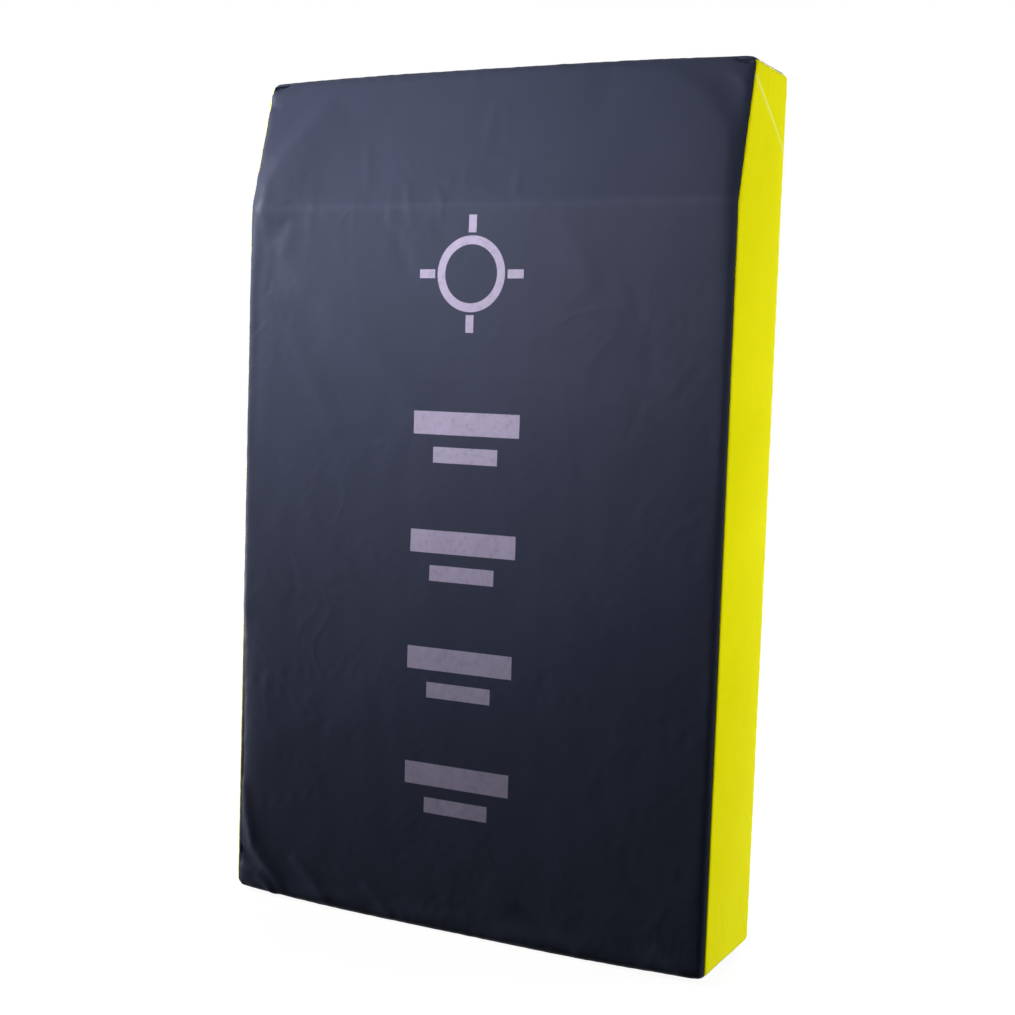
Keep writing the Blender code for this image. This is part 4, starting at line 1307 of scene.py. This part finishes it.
def floor_material(tone):
    """Studio paper: white at a distance, and a little below white near the bag, where its shadow shows."""
    sockets = {"Roughness": 0.8, "Specular IOR Level": 0.1, "Base Color": shade(tone, 0.08)}
    made, tree, shader = new_material("Pale studio floor", sockets)
    place = add(tree, "TexCoord", (), "Object")
    away = add(tree, "VectorMath", (place,), "Value", operation="LENGTH")
    level = add(tree, "MapRange", (away, 0.9, 2.4, 0.94, 1.0), interpolation_type="SMOOTHSTEP")
    lit = add(tree, "Math", (seen_rays(tree), level), operation="MULTIPLY")
    white = add(tree, "Emission", {"Color": WHITE, "Strength": lit})
    both = add(tree, "AddShader", (shader.outputs[0], white))
    tree.links.new(both, tree.nodes["Material Output"].inputs["Surface"])
    return made


WARM = (1.0, 0.93, 0.9)
WHITE = (1.0, 1.0, 1.0)
# Name, setting and share of its power, size, grid in degrees, colour, place and aim. Grids on the two warm
# lamps before the front keep their light off its lower right
LAMPS = (
    ("key_lamp", "key", 1.0, 0.8, 90.0, WARM, (-0.22, -1.0, 1.2), (-0.08, -0.09, 1.1)),
    ("left_lamp", "side", 0.42, 0.45, 108.0, WARM, (-1.45, -0.62, 1.3), (-0.15, -0.09, 1.08)),
    ("edge_lamp", "side", 0.9, 0.4, 180.0, WHITE, (-2.2, -0.26, 0.15), (-0.37, -0.05, 0.15)),
    ("right_lamp", "side", 1.0, 1.2, 180.0, WHITE, (2.3, 0.75, 0.8), (0.37, 0.0, 0.6)),
    ("rear_high_lamp", "rear", 1.0, 1.0, 180.0, WHITE, (-0.25, 2.0, 1.9), (0.0, 0.1, 0.7)),
    ("rear_low_lamp", "rear", 0.6, 0.9, 180.0, WHITE, (-0.15, 2.1, 0.8), (0.0, 0.1, 0.4)),
)
# The camera found by fitting the slab's corners and edges to the photograph's frame, with turns in radians
CAMERA_PLACE = (1.0625, -2.0695, 0.786)
CAMERA_TURNS = ((0.4672, "Z"), (-0.0795, "X"), (-0.0338, "Y"), (math.radians(90), "X"))
SENSOR_WIDTH = 36.0


class BAG_OT_stage(Operator):
    """Set out the floor, the lamps and the camera"""

    bl_idname = "bag.stage"
    bl_label = "Stage"

    def execute(self, context):
        settings = context.scene.contest_bag.stage
        scene = context.scene
        bm = bmesh.new()
        bmesh.ops.create_circle(bm, cap_ends=True, segments=64, radius=9.0)
        from_bmesh("studio_floor", bm, floor_material(settings.floor))

        world = scene.world or bpy.data.worlds.new("Studio")
        scene.world = world
        world.use_nodes = True
        tree = world.node_tree
        strength = add(tree, "MapRange", (seen_rays(tree), 0.0, 1.0, 0.018, 1.0))
        feed(tree, tree.nodes["Background"], {"Color": WHITE, "Strength": strength})

        for name, kind, share, size, grid, tint, place, aim in LAMPS:
            lamp = bpy.data.lights.new(name, "AREA")
            lamp.energy = getattr(settings, kind) * share
            lamp.shape = "DISK"
            lamp.size = size
            lamp.spread = math.radians(grid)
            lamp.color = tint
            holder = bpy.data.objects.new(name, lamp)
            holder.location = place
            holder.rotation_euler = (Vector(aim) - Vector(place)).to_track_quat("-Z", "Y").to_euler()
            scene.collection.objects.link(holder)

        lens = bpy.data.cameras.new("photo_camera")
        lens.lens = settings.lens
        lens.sensor_width = SENSOR_WIDTH
        camera = bpy.data.objects.new("photo_camera", lens)
        camera.matrix_world = Matrix.Translation(CAMERA_PLACE)
        for turn, axis in CAMERA_TURNS:
            camera.matrix_world @= Matrix.Rotation(turn, 4, axis)
        scene.collection.objects.link(camera)
        scene.camera = camera
        scene.view_settings.view_transform = "Standard"
        return {"FINISHED"}


class BAG_PT_contest_bag(Panel):
    """Lists the pieces of the bag"""

    bl_label = "Contest Bag"
    bl_space_type = "VIEW_3D"
    bl_region_type = "UI"
    bl_category = "Contest Bag"

    def draw(self, context):
        for piece in OPERATORS:
            self.layout.operator(piece.bl_idname)


SETTINGS = (
    CoverSettings, FoamSettings, ZipSettings, VentSettings, LoopSettings, StageSettings, ContestBagSettings,
)
OPERATORS = (
    BAG_OT_foam, BAG_OT_cover, BAG_OT_patches, BAG_OT_zip, BAG_OT_vents, BAG_OT_loops, BAG_OT_stage,
)


def register():
    for kind in (*SETTINGS, *OPERATORS, BAG_PT_contest_bag):
        bpy.utils.register_class(kind)
    bpy.types.Scene.contest_bag = PointerProperty(type=ContestBagSettings)


def unregister():
    del bpy.types.Scene.contest_bag
    for kind in reversed((*SETTINGS, *OPERATORS, BAG_PT_contest_bag)):
        bpy.utils.unregister_class(kind)


def main():
    register()
    for piece in OPERATORS:
        group, name = piece.bl_idname.split(".")
        getattr(getattr(bpy.ops, group), name)()
    bpy.context.view_layer.update()


if __name__ == "__main__":
    main()
